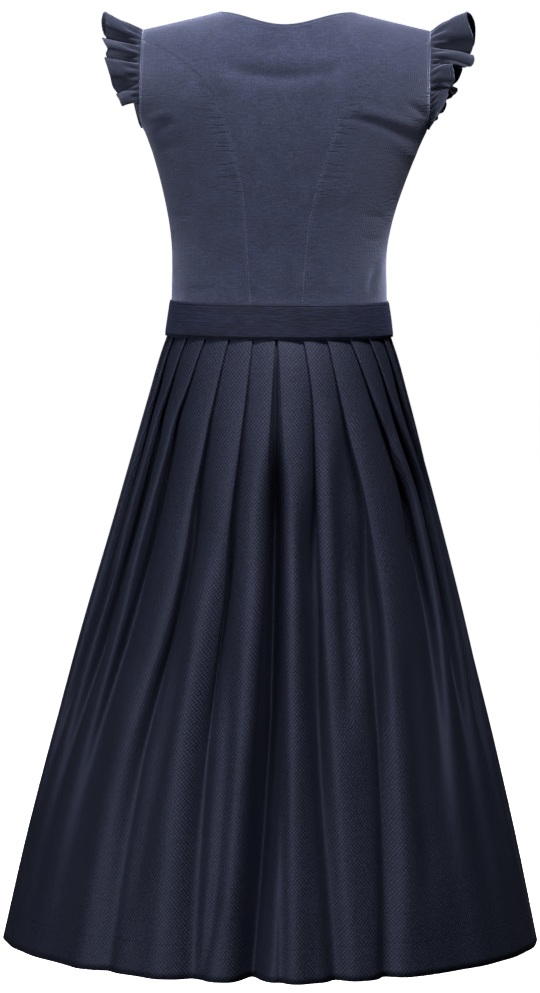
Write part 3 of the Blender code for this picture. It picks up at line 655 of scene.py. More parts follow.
def grid_normals(grid):
    """Unit normals of a grid surface, turned away from the body's middle line."""
    normal = unit(np.cross(np.gradient(grid, axis=1), np.gradient(grid, axis=0)))
    if np.sum(normal[..., :2] * grid[..., :2]) < 0:
        normal = -normal
    return normal


def crease_field(across, height, creases):
    """Sum over the creases of stand times a bell of the distance to its bent line.

    The line is the quadratic curve through its three points, and a crease fades at its ends.
    """
    part = np.linspace(0.0, 1.0, CREASE_POINTS)
    total = np.zeros(np.broadcast(across, height).shape)
    for crease in creases:
        at = dict(zip(CREASE_COLUMNS, crease))
        first, middle, last = (1 - part) * (1 - 2 * part), 4 * part * (1 - part), part * (2 * part - 1)
        line_x = first * at["reach_a"] + middle * at["reach_b"] + last * at["reach_c"]
        line_z = first * at["height_a"] + middle * at["height_b"] + last * at["height_c"]
        gap = (across[..., None] - line_x) ** 2 + (height[..., None] - line_z) ** 2
        nearest = part[np.argmin(gap, axis=-1)]
        fade = smoothstep(nearest / CREASE_FADE) * smoothstep((1 - nearest) / CREASE_FADE)
        total = total + at["stand"] * np.exp(-gap.min(axis=-1) / at["width"] ** 2) * fade
    return total


def distance_to(grid, line):
    """Distance from each point of a grid to the nearest point of a line, cut four times finer."""
    steps = np.linspace(0, len(line) - 1, 4 * len(line))
    fine = np.stack([np.interp(steps, np.arange(len(line)), line[:, k]) for k in range(3)], axis=-1)
    flat = grid.reshape(-1, 3)
    near = np.full(len(flat), np.inf)
    for chunk in np.array_split(fine, max(1, len(fine) // CHUNK)):
        gap = np.linalg.norm(flat[:, None, :] - chunk[None, :, :], axis=-1)
        near = np.minimum(near, gap.min(axis=1))
    return near.reshape(grid.shape[:2])


def row_lengths(grid):
    """Length along each row of a grid from its first column."""
    steps = np.linalg.norm(np.diff(grid, axis=1), axis=-1)
    return np.concatenate([np.zeros((len(grid), 1)), np.cumsum(steps, axis=1)], axis=1)


def length_on_body(start, end, height, face):
    """Signed length along the bodice's level section from one reach to another."""
    part = np.linspace(0.0, 1.0, LENGTH_POINTS)
    x = start[:, None] + (end - start)[:, None] * part[None, :]
    points = body_surface(x, height[:, None], face)
    return row_lengths(points)[:, -1] * np.sign(end - start)


def oval_ring(half, back, front, squareness, count):
    """Closed oval from centre front round by the wearer's right, the back and the left."""
    turn = np.linspace(-math.pi, math.pi, count + 1)[:-1]
    depth = np.where(np.cos(turn) > 0, back, front)
    x = half * np.sign(np.sin(turn)) * np.abs(np.sin(turn)) ** (2 / squareness)
    y = depth * np.sign(np.cos(turn)) * np.abs(np.cos(turn)) ** (2 / squareness)
    return x, y


def ring_reader(half, back, front, squareness):
    """Functions of the length round an oval: place and outward normal, 0 at centre back."""
    x, y = oval_ring(half, back, front, squareness, RING_STEPS)
    x, y = np.append(x, x[0]), np.append(y, y[0])
    length = np.concatenate([[0.0], np.cumsum(np.hypot(np.diff(x), np.diff(y)))])
    total = length[-1]
    middle = length[RING_STEPS // 2]
    along = length - middle

    def place(s, out):
        """Point at a length round the oval, moved out along the normal there."""
        s = (np.asarray(s) + middle) % total - middle
        px, py = np.interp(s, along, x), np.interp(s, along, y)
        ahead = (s + NORMAL_STEP + middle) % total - middle
        behind = (s - NORMAL_STEP + middle) % total - middle
        tx = np.interp(ahead, along, x) - np.interp(behind, along, x)
        ty = np.interp(ahead, along, y) - np.interp(behind, along, y)
        size = np.hypot(tx, ty)
        return px - ty / size * out, py + tx / size * out

    def length_at(reach, side):
        """Length from centre back to where the oval has this share of its half width."""
        back_part = (along * side >= 0) & (y >= 0)
        order = np.argsort(np.abs(x[back_part]))
        return np.interp(reach * half, np.abs(x[back_part])[order], np.abs(along[back_part])[order])

    return place, length_at, total


def band_line(level):
    """The band's inner line at a level: its place and its length, from low and high ovals mixed."""
    mix = (level - BAND_BOTTOM) / (BAND_TOP - BAND_BOTTOM)
    form = []
    for name in ("half_width", "back_depth", "front_depth"):
        low = float(look_up(BODY, name, BAND_BOTTOM))
        high = float(look_up(BODY, name, BAND_TOP))
        form.append(low + (high - low) * mix + BAND_CLEAR)
    place, _, total = ring_reader(*form, SQUARENESS)
    return place, total


def turned_in_grid(columns):
    """Seam allowances turned in under the band: a ring from the band's inner line towards the middle.

    Across the ring the place moves inwards along the oval's normal by equal steps and rises a little.
    """
    place, total = band_line(TURNED_IN_HEIGHT)
    s = np.linspace(-total / 2 + SEAM_GAP, total / 2 - SEAM_GAP, columns + 1)
    over_fronts = lap_share(total / 2 - np.abs(s))
    rows = []
    for part in np.linspace(0.0, 1.0, TURNED_IN_ROWS):
        px, py = place(s, over_fronts * LAP_RAISE * (1 - part) - TURNED_IN * part)
        rows.append(np.stack([px, py, np.full_like(px, TURNED_IN_HEIGHT + part)], axis=-1))
    return np.array(rows)


def waistband_grid(columns, rows_up):
    """One strip round the waist, its ends lapped at centre front, raised where it crosses a lap."""
    rows = []
    for level in np.linspace(BAND_BOTTOM, BAND_TOP, rows_up):
        place, total = band_line(level)
        s = np.linspace(-total / 2 - LAP, total / 2 + LAP, columns + 1)
        over_end = 1 - smoothstep((s + total / 2 - LAP - 0.5 * LAP_EASE) / LAP_RUN)
        px, py = place(s, lap_share(total / 2 - np.abs(s)) * LAP_RAISE + over_end * BAND_LAP_RAISE)
        rows.append(np.stack([px, py, np.full_like(px, level)], axis=-1))
    return np.array(rows)


def fold_lengths(level, length_at, total, side):
    """Length from centre back to each fold on one side, at one level of the skirt."""
    table = LEFT_FOLDS if side > 0 else RIGHT_FOLDS
    shares = [float(look_up(table, name, level)) for name in table[0][1:]]
    near = [float(length_at(share, side)) for share in shares]
    down = (SKIRT_TOP - level) / (SKIRT_TOP - HEM)
    last = total / 2 - 0.5 * (FRONT_FACE_BAND + (FRONT_FACE_HEM - FRONT_FACE_BAND) * down)
    rest = np.linspace(near[-1], last, FOLDS_A_SIDE - len(near) + 1)[1:]
    return np.concatenate([near, rest])


def fold_side(folds, half_length, depth, lift, softness):
    """One side of the folded cloth: corners as length round and drop, cloth lengths, stations, seam.

    From centre back each pleat runs level to its fold, turns under it by a share of the pitch,
    comes back to the fold one layer lower, and its face then slopes down to the next pleat. The
    stations are the cloth lengths that every level of the skirt has in the same order.
    """
    s, drop = [0.0], [-2 * lift - CENTRE_DEPTH * min(folds[0] / CENTRE_WIDTH, 1.0)]
    for k, at in enumerate(folds):
        last = k == len(folds) - 1
        pitch = (half_length if last else folds[k + 1]) - at
        under = min(depth, UNDER_SHARE * pitch)
        slope = 0.0 if last else 2 * lift / pitch
        s += [at, at + under, at + under, at, at]
        drop += [-2 * lift, -2 * lift - slope * under, -lift - slope * under, -lift, 0.0]
        if not last:
            for part in FACE_PARTS:
                s.append(at + part * pitch)
                drop.append(-2 * lift * part ** FACE_BEND)
    s.append(half_length)
    drop.append(0.0)
    s, drop = np.array(s), np.array(drop)
    cloth = np.concatenate([[0.0], np.cumsum(np.hypot(np.diff(s), np.diff(drop)))])
    rounding = FOLD_ROUND + FOLD_ROUND_MORE * softness
    start, face_start = 0.0, 0.0
    stations = [0.0]
    seam = 0
    step = 5 + len(FACE_PARTS)
    for k in range(len(folds)):
        inner = 0.5 * (cloth[step * k + 2] + cloth[step * k + 3])
        edge = 0.5 * (cloth[step * k + 4] + cloth[step * k + 5])
        turn = min(rounding, TURN_SHARE * (edge - inner))
        if k > 0:
            face_start = start + min(rounding, FACE_SHARE * (inner - start))
            stations.append(face_start)
        face_end = inner - min(rounding, FACE_SHARE * (inner - start))
        if k == SIDE_SEAM_FOLD:
            seam = len(stations)
        stations += [0.5 * (face_start + face_end), face_end]
        stations += [inner, inner + turn, edge - turn, edge]
        start = edge
    face_start = start + rounding
    stations += [face_start + (cloth[-1] - face_start) * part for part in LAST_PARTS]
    return s, drop, cloth, np.array(stations), seam


def skirt_ring(level):
    """One level of the skirt: a function of the cloth length, its stations and the seam stations.

    The folded line is softened as a whole, by a bell of the softness along the cloth.
    """
    values = [float(look_up(SKIRT, name, level)) for name in SKIRT[0][1:]]
    half, back, front, squareness, depth, lift, softness = values
    place, length_at, total = ring_reader(half, back, front, squareness)
    left, right = [
        fold_side(fold_lengths(level, length_at, total, side), total / 2, depth, lift, softness)
        for side in (1, -1)]
    s = np.concatenate([-right[0][::-1], left[0][1:]])
    drop = np.concatenate([right[1][::-1], left[1][1:]])
    cloth = np.concatenate([-right[2][::-1], left[2][1:]])
    stations = np.concatenate([-right[3][::-1], left[3][1:]])
    seam_left = len(right[3]) - 1 + left[4]
    seam_right = len(right[3]) - 1 - right[4]
    even = np.linspace(cloth[0], cloth[-1], SOFTEN_SAMPLES + 1)
    px, py = place(np.interp(even, cloth, s), np.interp(even, cloth, drop))
    line = px[:-1] + 1j * py[:-1]
    wave = np.fft.fftfreq(SOFTEN_SAMPLES, d=even[1] - even[0])
    line = np.fft.ifft(np.fft.fft(line) * np.exp(-2 * (math.pi * wave * softness) ** 2))
    line = np.append(line, line[0])

    def point(at):
        """Point of the softened line at a cloth length."""
        x, y = np.interp(at, even, line.real), np.interp(at, even, line.imag)
        return np.stack([x, y, np.full_like(x, level)], axis=-1)

    return point, stations, seam_left, seam_right


def between(stations, parts):
    """Each gap between stations cut into equal parts."""
    where = np.linspace(0, len(stations) - 1, (len(stations) - 1) * parts + 1)
    return np.interp(where, np.arange(len(stations)), stations)


def skirt_grids(rows_down, parts):
    """Points and cloth lengths of the back and front skirt widths, which meet on a pleat at each side."""
    share = np.linspace(0.0, 1.0, rows_down) ** ROW_CROWDING
    levels = SKIRT_TOP + (HEM - SKIRT_TOP) * share
    grids = {"back": [], "front": []}
    lengths = {"back": [], "front": []}
    for level in levels:
        point, stations, seam_left, seam_right = skirt_ring(level)
        half_gap = 0.5 * SEAM_GAP
        behind = between(stations[seam_right:seam_left + 1], parts)
        behind[0] += half_gap
        behind[-1] -= half_gap
        left = between(stations[seam_left:], parts)
        left[0] += half_gap
        right = between(stations[:seam_right + 1], parts)
        right[-1] -= half_gap
        grids["back"].append(point(behind))
        lengths["back"].append(behind)
        grids["front"].append(np.concatenate([point(left), point(right)[1:]]))
        whole = stations[-1] - stations[0]
        lengths["front"].append(np.concatenate([left, right[1:] + whole]))
    return {name: (np.array(grids[name]), np.array(lengths[name])) for name in grids}


def hang_field(grid, hangs):
    """How far each point of the skirt stands out: a bell of the distance from each bent line."""
    height = grid[..., 2]
    half = look_up(SKIRT, "half_width", height)
    total = np.zeros(height.shape)
    for hang in hangs:
        part = dict(zip(HANG_COLUMNS, hang))
        known = [part["height_c"], part["height_b"], part["height_a"]]
        shares = [part["share_c"], part["share_b"], part["share_a"]]
        middle = np.interp(height, known, shares) * half
        lean = np.sqrt(np.maximum(1 - (middle / half) ** 2, LEAST_LEAN))
        beside = (grid[..., 0] - middle) / lean
        start = smoothstep((part["height_a"] + HANG_ABOVE - height) / HANG_RUN)
        end = 1.0
        if part["height_c"] > HEM:
            end = smoothstep((height - part["height_c"]) / HANG_FADE + JUST_OVER)
        total = total + part["stand"] * np.exp(-(beside / part["width"]) ** 2) * start * end
    return total


def armhole_line(count):
    """Armhole edge of the left side, from its back end over the shoulder to its front end."""
    climb = np.linspace(0.0, 1.0, count)
    height = FRILL_END + (SHOULDER_TIP - FRILL_END) * (1 - (1 - climb) ** ARM_CLIMB)
    sides = []
    for face in (1, -1):
        reach = armhole_reach(height, face)
        here = body_surface(reach, height, face)
        beside = body_surface(reach - 0.5, height, face) - here
        along = unit(np.gradient(here, axis=0))
        normal = unit(-face * np.cross(along, beside))
        away = np.cross(normal, along) * face
        here = here + 0.5 * CORD_WALL * normal + FRILL_CLEAR * away
        sides.append(here[::face])
    sides[0][-1, 1] = max(sides[0][-1, 1], 0.0)
    return np.concatenate([sides[0][:-1], sides[1][1:]])


def frill_grid(side, columns, rows_across):
    """Gathered cap frill, lofted from the armhole edge to its folded free edge.

    A point lies at seam + t * (edge - seam), raised by bow * sin(pi * t), with small gathers
    that start at the seam and fade out.
    """
    table, bow = (LEFT_FRILL, LEFT_FRILL_BOW) if side > 0 else (RIGHT_FRILL, RIGHT_FRILL_BOW)
    line = armhole_line(ARM_POINTS)
    length = row_lengths(line[None])[0]
    known = [row[0] for row in table[1:]]
    share = np.interp(np.linspace(0.0, 1.0, columns), np.linspace(0.0, 1.0, len(known)), known)
    at = share * length[-1]
    seam = np.stack([np.interp(at, length, line[:, axis]) for axis in range(3)], axis=-1)
    edge = np.stack([look_up(table, name, share) for name in table[0][1:]], axis=-1)
    width = np.linalg.norm(edge - seam, axis=1)
    wide = np.minimum(width / GATHER_WIDTH, 1.0)
    across = unit(np.cross(unit(np.gradient(seam, axis=0)), edge - seam))
    drift = GATHER_DRIFT[0] * np.sin(GATHER_DRIFT[1] * share)
    ripple = np.sin(2 * math.pi * GATHER_WAVES * share + drift) * wide
    made = []
    for t in np.linspace(0.0, 1.0, rows_across):
        gather = GATHER_SWING * math.sin(math.pi * min(t * GATHER_RISE, 1.0)) * (1 - t)
        lifted = np.array([0.0, 0.0, bow * math.sin(math.pi * t)]) * wide[:, None]
        made.append(seam + t * (edge - seam) + lifted + across * (gather * ripple)[:, None])
    grid = np.array(made)
    grid[..., 0] *= side
    reach = np.linspace(0.0, 1.0, rows_across)[:, None] * width[None, :]
    return grid, reach, np.broadcast_to(at[None, :], reach.shape)


def tube(path, radius, sides):
    """A round cord carried along a path: the path plus radius times a circle in its cross plane."""
    along = unit(np.gradient(path, axis=0))
    up = np.where(np.abs(along[:, 2:3]) > 0.9, np.array([[1.0, 0.0, 0.0]]), np.array([[0.0, 0.0, 1.0]]))
    beside = unit(np.cross(along, up))
    above = np.cross(beside, along)
    turn = np.linspace(0.0, 2 * math.pi, sides + 1)[:-1, None]
    ring = np.cos(turn) * beside[:, None, :] + np.sin(turn) * above[:, None, :]
    return path[:, None, :] + radius * ring


def button_form(count):
    """Domed button with a rolled rim, as rings round its axis: radius and height of each ring."""
    profile = np.array(BUTTON_PROFILE)
    turn = np.linspace(0.0, 2 * math.pi, count + 1)[:-1]
    radius = profile[:, 0] * BUTTON_RADIUS
    rise = profile[:, 1] * BUTTON_HEIGHT
    across, up = radius[:, None] * np.cos(turn), radius[:, None] * np.sin(turn)
    return np.stack(np.broadcast_arrays(across, up, rise[:, None]), axis=-1)


def button_place(height, extra_out):
    """Middle of a button's foot, and the unit vectors across, up and out of the cloth there."""
    centre = body_surface(0.0, height, -1)
    up = unit(body_surface(0.0, height + BUTTON_LEVEL, -1) - body_surface(0.0, height - BUTTON_LEVEL, -1))
    across = np.array([1.0, 0.0, 0.0])
    out = np.cross(across, up)
    return centre + out * (CORD_WALL + BUTTON_CLEAR + extra_out), across, up, out


def hex_colour(text):
    """Linear red, green and blue of an sRGB hex colour."""
    parts = [int(text[k:k + 2], 16) / 255 for k in (1, 3, 5)]
    return tuple(p / 12.92 if p <= 0.04045 else ((p + 0.055) / 1.055) ** 2.4 for p in parts)


def quads_of(rows, columns, closed):
    """Corner numbers of a grid's faces; a closed grid joins its last column to its first."""
    last = columns if closed else columns - 1
    first = np.arange(rows - 1)[:, None] * columns + np.arange(last)[None, :]
    step = np.ones_like(first)
    if closed:
        step[:, -1] = 1 - columns
    return np.stack([first, first + step, first + step + columns, first + columns], axis=-1).reshape(-1, 4)


def make_mesh(name, points, faces, uv, values):
    """Mesh from arrays of points, quads, a UV map and named values at the points."""
    mesh = bpy.data.meshes.new(name)
    mesh.vertices.add(len(points))
    mesh.vertices.foreach_set("co", (points * MILLIMETRE).astype(np.float32).ravel())
    mesh.loops.add(faces.size)
    mesh.loops.foreach_set("vertex_index", faces.astype(np.int32).ravel())
    mesh.polygons.add(len(faces))
    mesh.polygons.foreach_set("loop_start", np.arange(len(faces), dtype=np.int32) * 4)
    mesh.update(calc_edges=True)
    if uv is not None:
        layer = mesh.uv_layers.new(name="cloth")
        layer.uv.foreach_set("vector", (uv * MILLIMETRE)[faces.ravel()].astype(np.float32).ravel())
    for key, value in values.items():
        held = mesh.attributes.new(key, "FLOAT", "POINT")
        held.data.foreach_set("value", value.astype(np.float32).ravel())
    mesh.validate()
    mesh.shade_smooth()
    return mesh


def place_in_scene(name, data):
    """Object of a mesh, lamp or camera, linked to the scene."""
    thing = bpy.data.objects.new(name, data)
    bpy.context.scene.collection.objects.link(thing)
    return thing


def put(name, mesh, finish, slot, nodes=()):
    """Piece of a mesh, riding on the part's body, with its material and the nodes it replaces; the slot is
    not used.
    """
    thing = place_in_scene(name, mesh)
    mesh.materials.append(finish)
    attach(thing, "root")
    if nodes:
        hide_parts(*nodes)
    return thing


def cloth(name, grid, uv, values, wall, offset, finish, slot, nodes):
    """Grid surface of cloth with a wall, its faces turned away from the body's middle."""
    points = stand(grid.reshape(-1, 3))
    faces = quads_of(*grid.shape[:2], False)
    middles = points[faces].mean(axis=1)
    normals = np.cross(points[faces[:, 2]] - points[faces[:, 0]], points[faces[:, 3]] - points[faces[:, 1]])
    if np.sum(normals[:, :2] * middles[:, :2]) < 0:
        faces = faces[:, ::-1]
    mesh = make_mesh(name, points, faces, uv.reshape(-1, 2), values)
    thing = put(name, mesh, finish, slot, nodes)
    walls = thing.modifiers.new("Wall", "SOLIDIFY")
    walls.thickness = wall * MILLIMETRE
    walls.offset = offset
    return thing


# Kinds of node and settings that come up again in the materials
MATH = "ShaderNodeMath"
RANGE = "ShaderNodeMapRange"
NOISE = "ShaderNodeTexNoise"
MAPPING = "ShaderNodeMapping"
SPLIT = "ShaderNodeSeparateXYZ"
TIMES = {"operation": "MULTIPLY"}
TIMES_PLUS = {"operation": "MULTIPLY_ADD"}
LESS = {"operation": "SUBTRACT"}
SIZE_OF = {"operation": "ABSOLUTE"}
SINE = {"operation": "SINE"}
SMOOTH = {"interpolation_type": "SMOOTHSTEP"}
LIMITS = ("From Min", "From Max", "To Min", "To Max")


def add(tree, kind, settings, inputs):
    """Adds a node to a tree, sets its settings, and gives each input a value or another node's output.

    A node given as an input stands for its first output.
    """
    node = tree.nodes.new(kind)
    for key, value in settings.items():
        setattr(node, key, value)
    for key, value in inputs.items():
        if isinstance(value, bpy.types.Node):
            value = value.outputs[0]
        if isinstance(value, bpy.types.NodeSocket):
            tree.links.new(value, node.inputs[key])
        else:
            node.inputs[key].default_value = value
    return node


def new_material(name, base, roughness):
    """Material with a Principled shader; returns it, its node tree and the shader."""
    finish = bpy.data.materials.new(name)
    finish.use_nodes = True
    tree = finish.node_tree
    shader = tree.nodes["Principled BSDF"]
    shader.inputs["Base Color"].default_value = (*base, 1.0)
    shader.inputs["Roughness"].default_value = roughness
    finish.diffuse_color = (*base, 1.0)
    return finish, tree, shader


def colour_by(tree, shader, colour, factors):
    """Base colour times every factor, each given by its source, two values in and two values out."""
    amount = 1.0
    for source, *limits in factors:
        part = add(tree, RANGE, {"clamp": False}, {"Value": source, **dict(zip(LIMITS, limits))})
        amount = add(tree, MATH, TIMES, {0: part, 1: amount})
    tint = add(tree, "ShaderNodeVectorMath", {"operation": "SCALE"}, {0: tuple(colour), "Scale": amount})
    tree.links.new(tint.outputs[0], shader.inputs["Base Color"])


def raise_by(tree, shader, parts, distance, strength):
    """Relief of the surface: the sum of every source times its height in that distance."""
    height = 0.0
    for source, scale in parts:
        height = add(tree, MATH, TIMES_PLUS, {0: source, 1: scale, 2: height})
    bump = add(tree, "ShaderNodeBump", {}, {"Height": height, "Distance": distance, "Strength": strength})
    tree.links.new(bump.outputs[0], shader.inputs["Normal"])


def corduroy(name, scene):
    """Fine-wale cotton corduroy with a brushed nap.

    The eye sees a mottled bloom with faint upright ribs, light where the cloth turns away, seams as a
    dotted light line with a fold beside it, and small level puckers in the panels under the arms. The
    colour carries painted light and shade: the ribs' tops lighter and their gaps darker, painted shade
    in the seams' folds and the puckers, a thin painted highlight along the edges, and the frills
    darker as painted shade. Real wales are about 1.2 mm apart, too fine to show here, so they are drawn
    at the wale size.
    """
    colours, sizes = scene.dirndl_colours, scene.dirndl_sizes
    finish, tree, shader = new_material(name, colours.corduroy, 0.9)
    uv = add(tree, "ShaderNodeUVMap", {"uv_map": "cloth"}, {})
    split = add(tree, SPLIT, {}, {0: uv})
    place = add(tree, "ShaderNodeTexCoord", {}, {}).outputs["Object"]
    upright = add(tree, SPLIT, {}, {0: place}).outputs[2]
    edge, seam, under, frill = (
        add(tree, "ShaderNodeAttribute", {"attribute_name": key}, {}).outputs["Fac"] for key in CORD_VALUES)
    # Ribs, which the colour draws with painted light on their tops and painted shade between them, the
    # nap's blotches of about 29 mm, its fuzz of 2.3 mm, and the level threads, 12 mm long and 2.1 mm
    # apart, that show through where it is worn
    turns = add(tree, MATH, TIMES, {0: split, 1: 2 * math.pi / sizes.wale})
    wale = add(tree, MATH, SINE, {0: turns})
    bloom = add(tree, NOISE, {}, {"Vector": place, "Scale": 34.0, "Detail": 6.0, "Roughness": 0.62})
    fuzz = add(tree, NOISE, {}, {"Vector": place, "Scale": 430.0, "Detail": 2.0})
    level = add(tree, MAPPING, {}, {0: uv, "Scale": (85.0, 480.0, 1.0)})
    picks = add(tree, NOISE, {}, {"Vector": level, "Scale": 1.0, "Detail": 2.0})
    # The seams' stitches, the distance from the armhole's top stitching, level tucks beside the seams
    # 31 mm long and 4.3 mm apart, and the distance from 150 mm below the shoulders, where most of them lie
    beat = add(tree, MATH, TIMES, {0: split.outputs[1], 1: 2 * math.pi / STITCH_LENGTH})
    wave = add(tree, MATH, SINE, {0: beat})
    off = add(tree, MATH, LESS, {0: edge, 1: sizes.stitch_in / MILLIMETRE})
    from_stitching = add(tree, MATH, SIZE_OF, {0: off})
    tucks = add(tree, MAPPING, {}, {0: uv, "Scale": (32.0, 230.0, 1.0)})
    pucker = add(tree, NOISE, {}, {"Vector": tucks, "Scale": 1.0, "Detail": 1.0})
    above = add(tree, MATH, {"operation": "ADD"}, {0: upright, 1: 0.15})
    from_armhole = add(tree, MATH, SIZE_OF, {0: above})
    # Smooth steps of these, each with its limits: dots are the stitches and low dims them near the
    # shoulder blades, line and fold are the seam's light line and the fold beside it, darkened as painted
    # shade, stitch is the top stitching and rim a painted highlight along the edges, and near, sharp and
    # zone say where and how much it puckers
    steps = []
    for source, *limits in (
            (wave, -0.7, 0.5, 0.35, 1.0), (upright, -0.15, -0.05, 1.0, 0.4), (seam, 0.4, 1.5, 1.0, 0.0),
            (seam, 0.9, 3.0, 1.0, 0.0), (from_stitching, 0.2, 0.9, 1.0, 0.0), (edge, 0.6, 1.8, 1.0, 0.0),
            (seam, 3.0, 34.0, 1.0, 0.0), (pucker, 0.5, 0.66, 0.0, 1.0),
            (from_armhole, 0.03, 0.10, 1.0, 0.22)):
        steps.append(add(tree, RANGE, SMOOTH, {"Value": source, **dict(zip(LIMITS, limits))}))
    dots, low, line, fold, stitch, painted_edge_highlight, near, sharp, zone = steps
    tuck_relief_and_shade, sewn, shadow = sharp, line, fold
    for part in (near, under, zone):
        tuck_relief_and_shade = add(tree, MATH, TIMES, {0: tuck_relief_and_shade, 1: part})
    for part in (dots, low):
        sewn = add(tree, MATH, TIMES, {0: sewn, 1: part})
    shadow = add(tree, MATH, TIMES, {0: shadow, 1: under})
    # In the colour, the fold beside each seam and the puckers' troughs are darkened as painted shade
    colour_by(tree, shader, colours.corduroy, (
        (bloom, 0.3, 0.7, 0.76, 1.24), (fuzz, 0.3, 0.7, 0.72, 1.28), (picks, 0.3, 0.7, 0.8, 1.2),
        # The ribs' tops are painted lighter and their gaps darker, as painted light and shade
        (wale, -1.0, 1.0, 0.93, 1.07), (sewn, 0.0, 1.0, 1.0, 2.6), (shadow, 0.0, 1.0, 1.0, 0.5),
        # The cut edges are lightened as a painted highlight
        (stitch, 0.0, 1.0, 1.0, 1.22), (painted_edge_highlight, 0.0, 1.0, 1.0, 1.12), (tuck_relief_and_shade, 0.0, 1.0, 1.0, 0.84),
        # The frills are painted at 0.46 of the colour, as painted shade
        (frill, 0.0, 1.0, 1.0, 0.46)))
    raise_by(tree, shader, (
        (wale, 0.07), (fuzz, 0.35), (picks, 0.35), (stitch, -0.35), (sewn, 0.4), (shadow, -0.5),
        (tuck_relief_and_shade, -0.45)), MILLIMETRE, 0.9)
    shader.inputs["Specular IOR Level"].default_value = 0.15
    shader.inputs["Sheen Weight"].default_value = 0.8
    shader.inputs["Sheen Roughness"].default_value = 0.5
    shader.inputs["Sheen Tint"].default_value = (*hex_colour("#b2b9de"), 1.0)
    return finish


def slub_cloth(name, scene):
    """Plain woven navy cotton with slubs and edge stitching.

    The eye sees a dull cloth with uneven thick threads, lighter and darker, that run along the band,
    and a narrow furrow of stitches beside each edge, pressed in and darkened as painted shade.
    """
    colours, sizes = scene.dirndl_colours, scene.dirndl_sizes
    finish, tree, shader = new_material(name, colours.band, 0.75)
    uv = add(tree, "ShaderNodeUVMap", {"uv_map": "cloth"}, {})
    height = add(tree, SPLIT, {}, {0: uv}).outputs[1]
    # Slubs 14 mm long and 2.3 mm thick, a weave of 1.2 mm, and clouds of 45 by 17 mm
    long = add(tree, MAPPING, {}, {0: uv, "Scale": (70.0, 430.0, 1.0)})
    slub = add(tree, NOISE, {}, {"Vector": long, "Scale": 1.0, "Detail": 3.0, "Roughness": 0.6})
    fine = add(tree, MAPPING, {}, {0: uv, "Scale": (800.0, 900.0, 1.0)})
    weave = add(tree, NOISE, {}, {"Vector": fine, "Scale": 1.0, "Detail": 1.0})
    broad = add(tree, MAPPING, {}, {0: uv, "Scale": (22.0, 60.0, 1.0)})
    cloud = add(tree, NOISE, {}, {"Vector": broad, "Scale": 1.0, "Detail": 2.0})
    # A furrow of stitches 1 to 2.6 mm wide beside each edge, pressed in and darkened as painted shade
    furrow_relief_and_shade = 0.0
    for at in (sizes.stitch_in / 2, (BAND_TOP - BAND_BOTTOM) * MILLIMETRE - sizes.stitch_in):
        off = add(tree, MATH, LESS, {0: height, 1: at})
        far = add(tree, MATH, SIZE_OF, {0: off})
        stitch = add(tree, RANGE, SMOOTH, {"Value": far, **dict(zip(LIMITS, (0.0003, 0.0013, 1.0, 0.0)))})
        furrow_relief_and_shade = add(tree, MATH, {"operation": "ADD"}, {0: stitch, 1: furrow_relief_and_shade})
    colour_by(tree, shader, colours.band, (
        (slub, 0.3, 0.7, 0.45, 1.6), (weave, 0.3, 0.7, 0.7, 1.3), (cloud, 0.3, 0.7, 0.8, 1.2),
        (furrow_relief_and_shade, 0.0, 1.0, 1.0, 0.5)))
    raise_by(tree, shader, ((slub, 0.9), (weave, 0.3), (furrow_relief_and_shade, -0.5)), MILLIMETRE, 0.8)
    shader.inputs["Specular IOR Level"].default_value = 0.14
    shader.inputs["Sheen Weight"].default_value = 0.12
    shader.inputs["Sheen Tint"].default_value = (*hex_colour("#8f9cd0"), 1.0)
    return finish


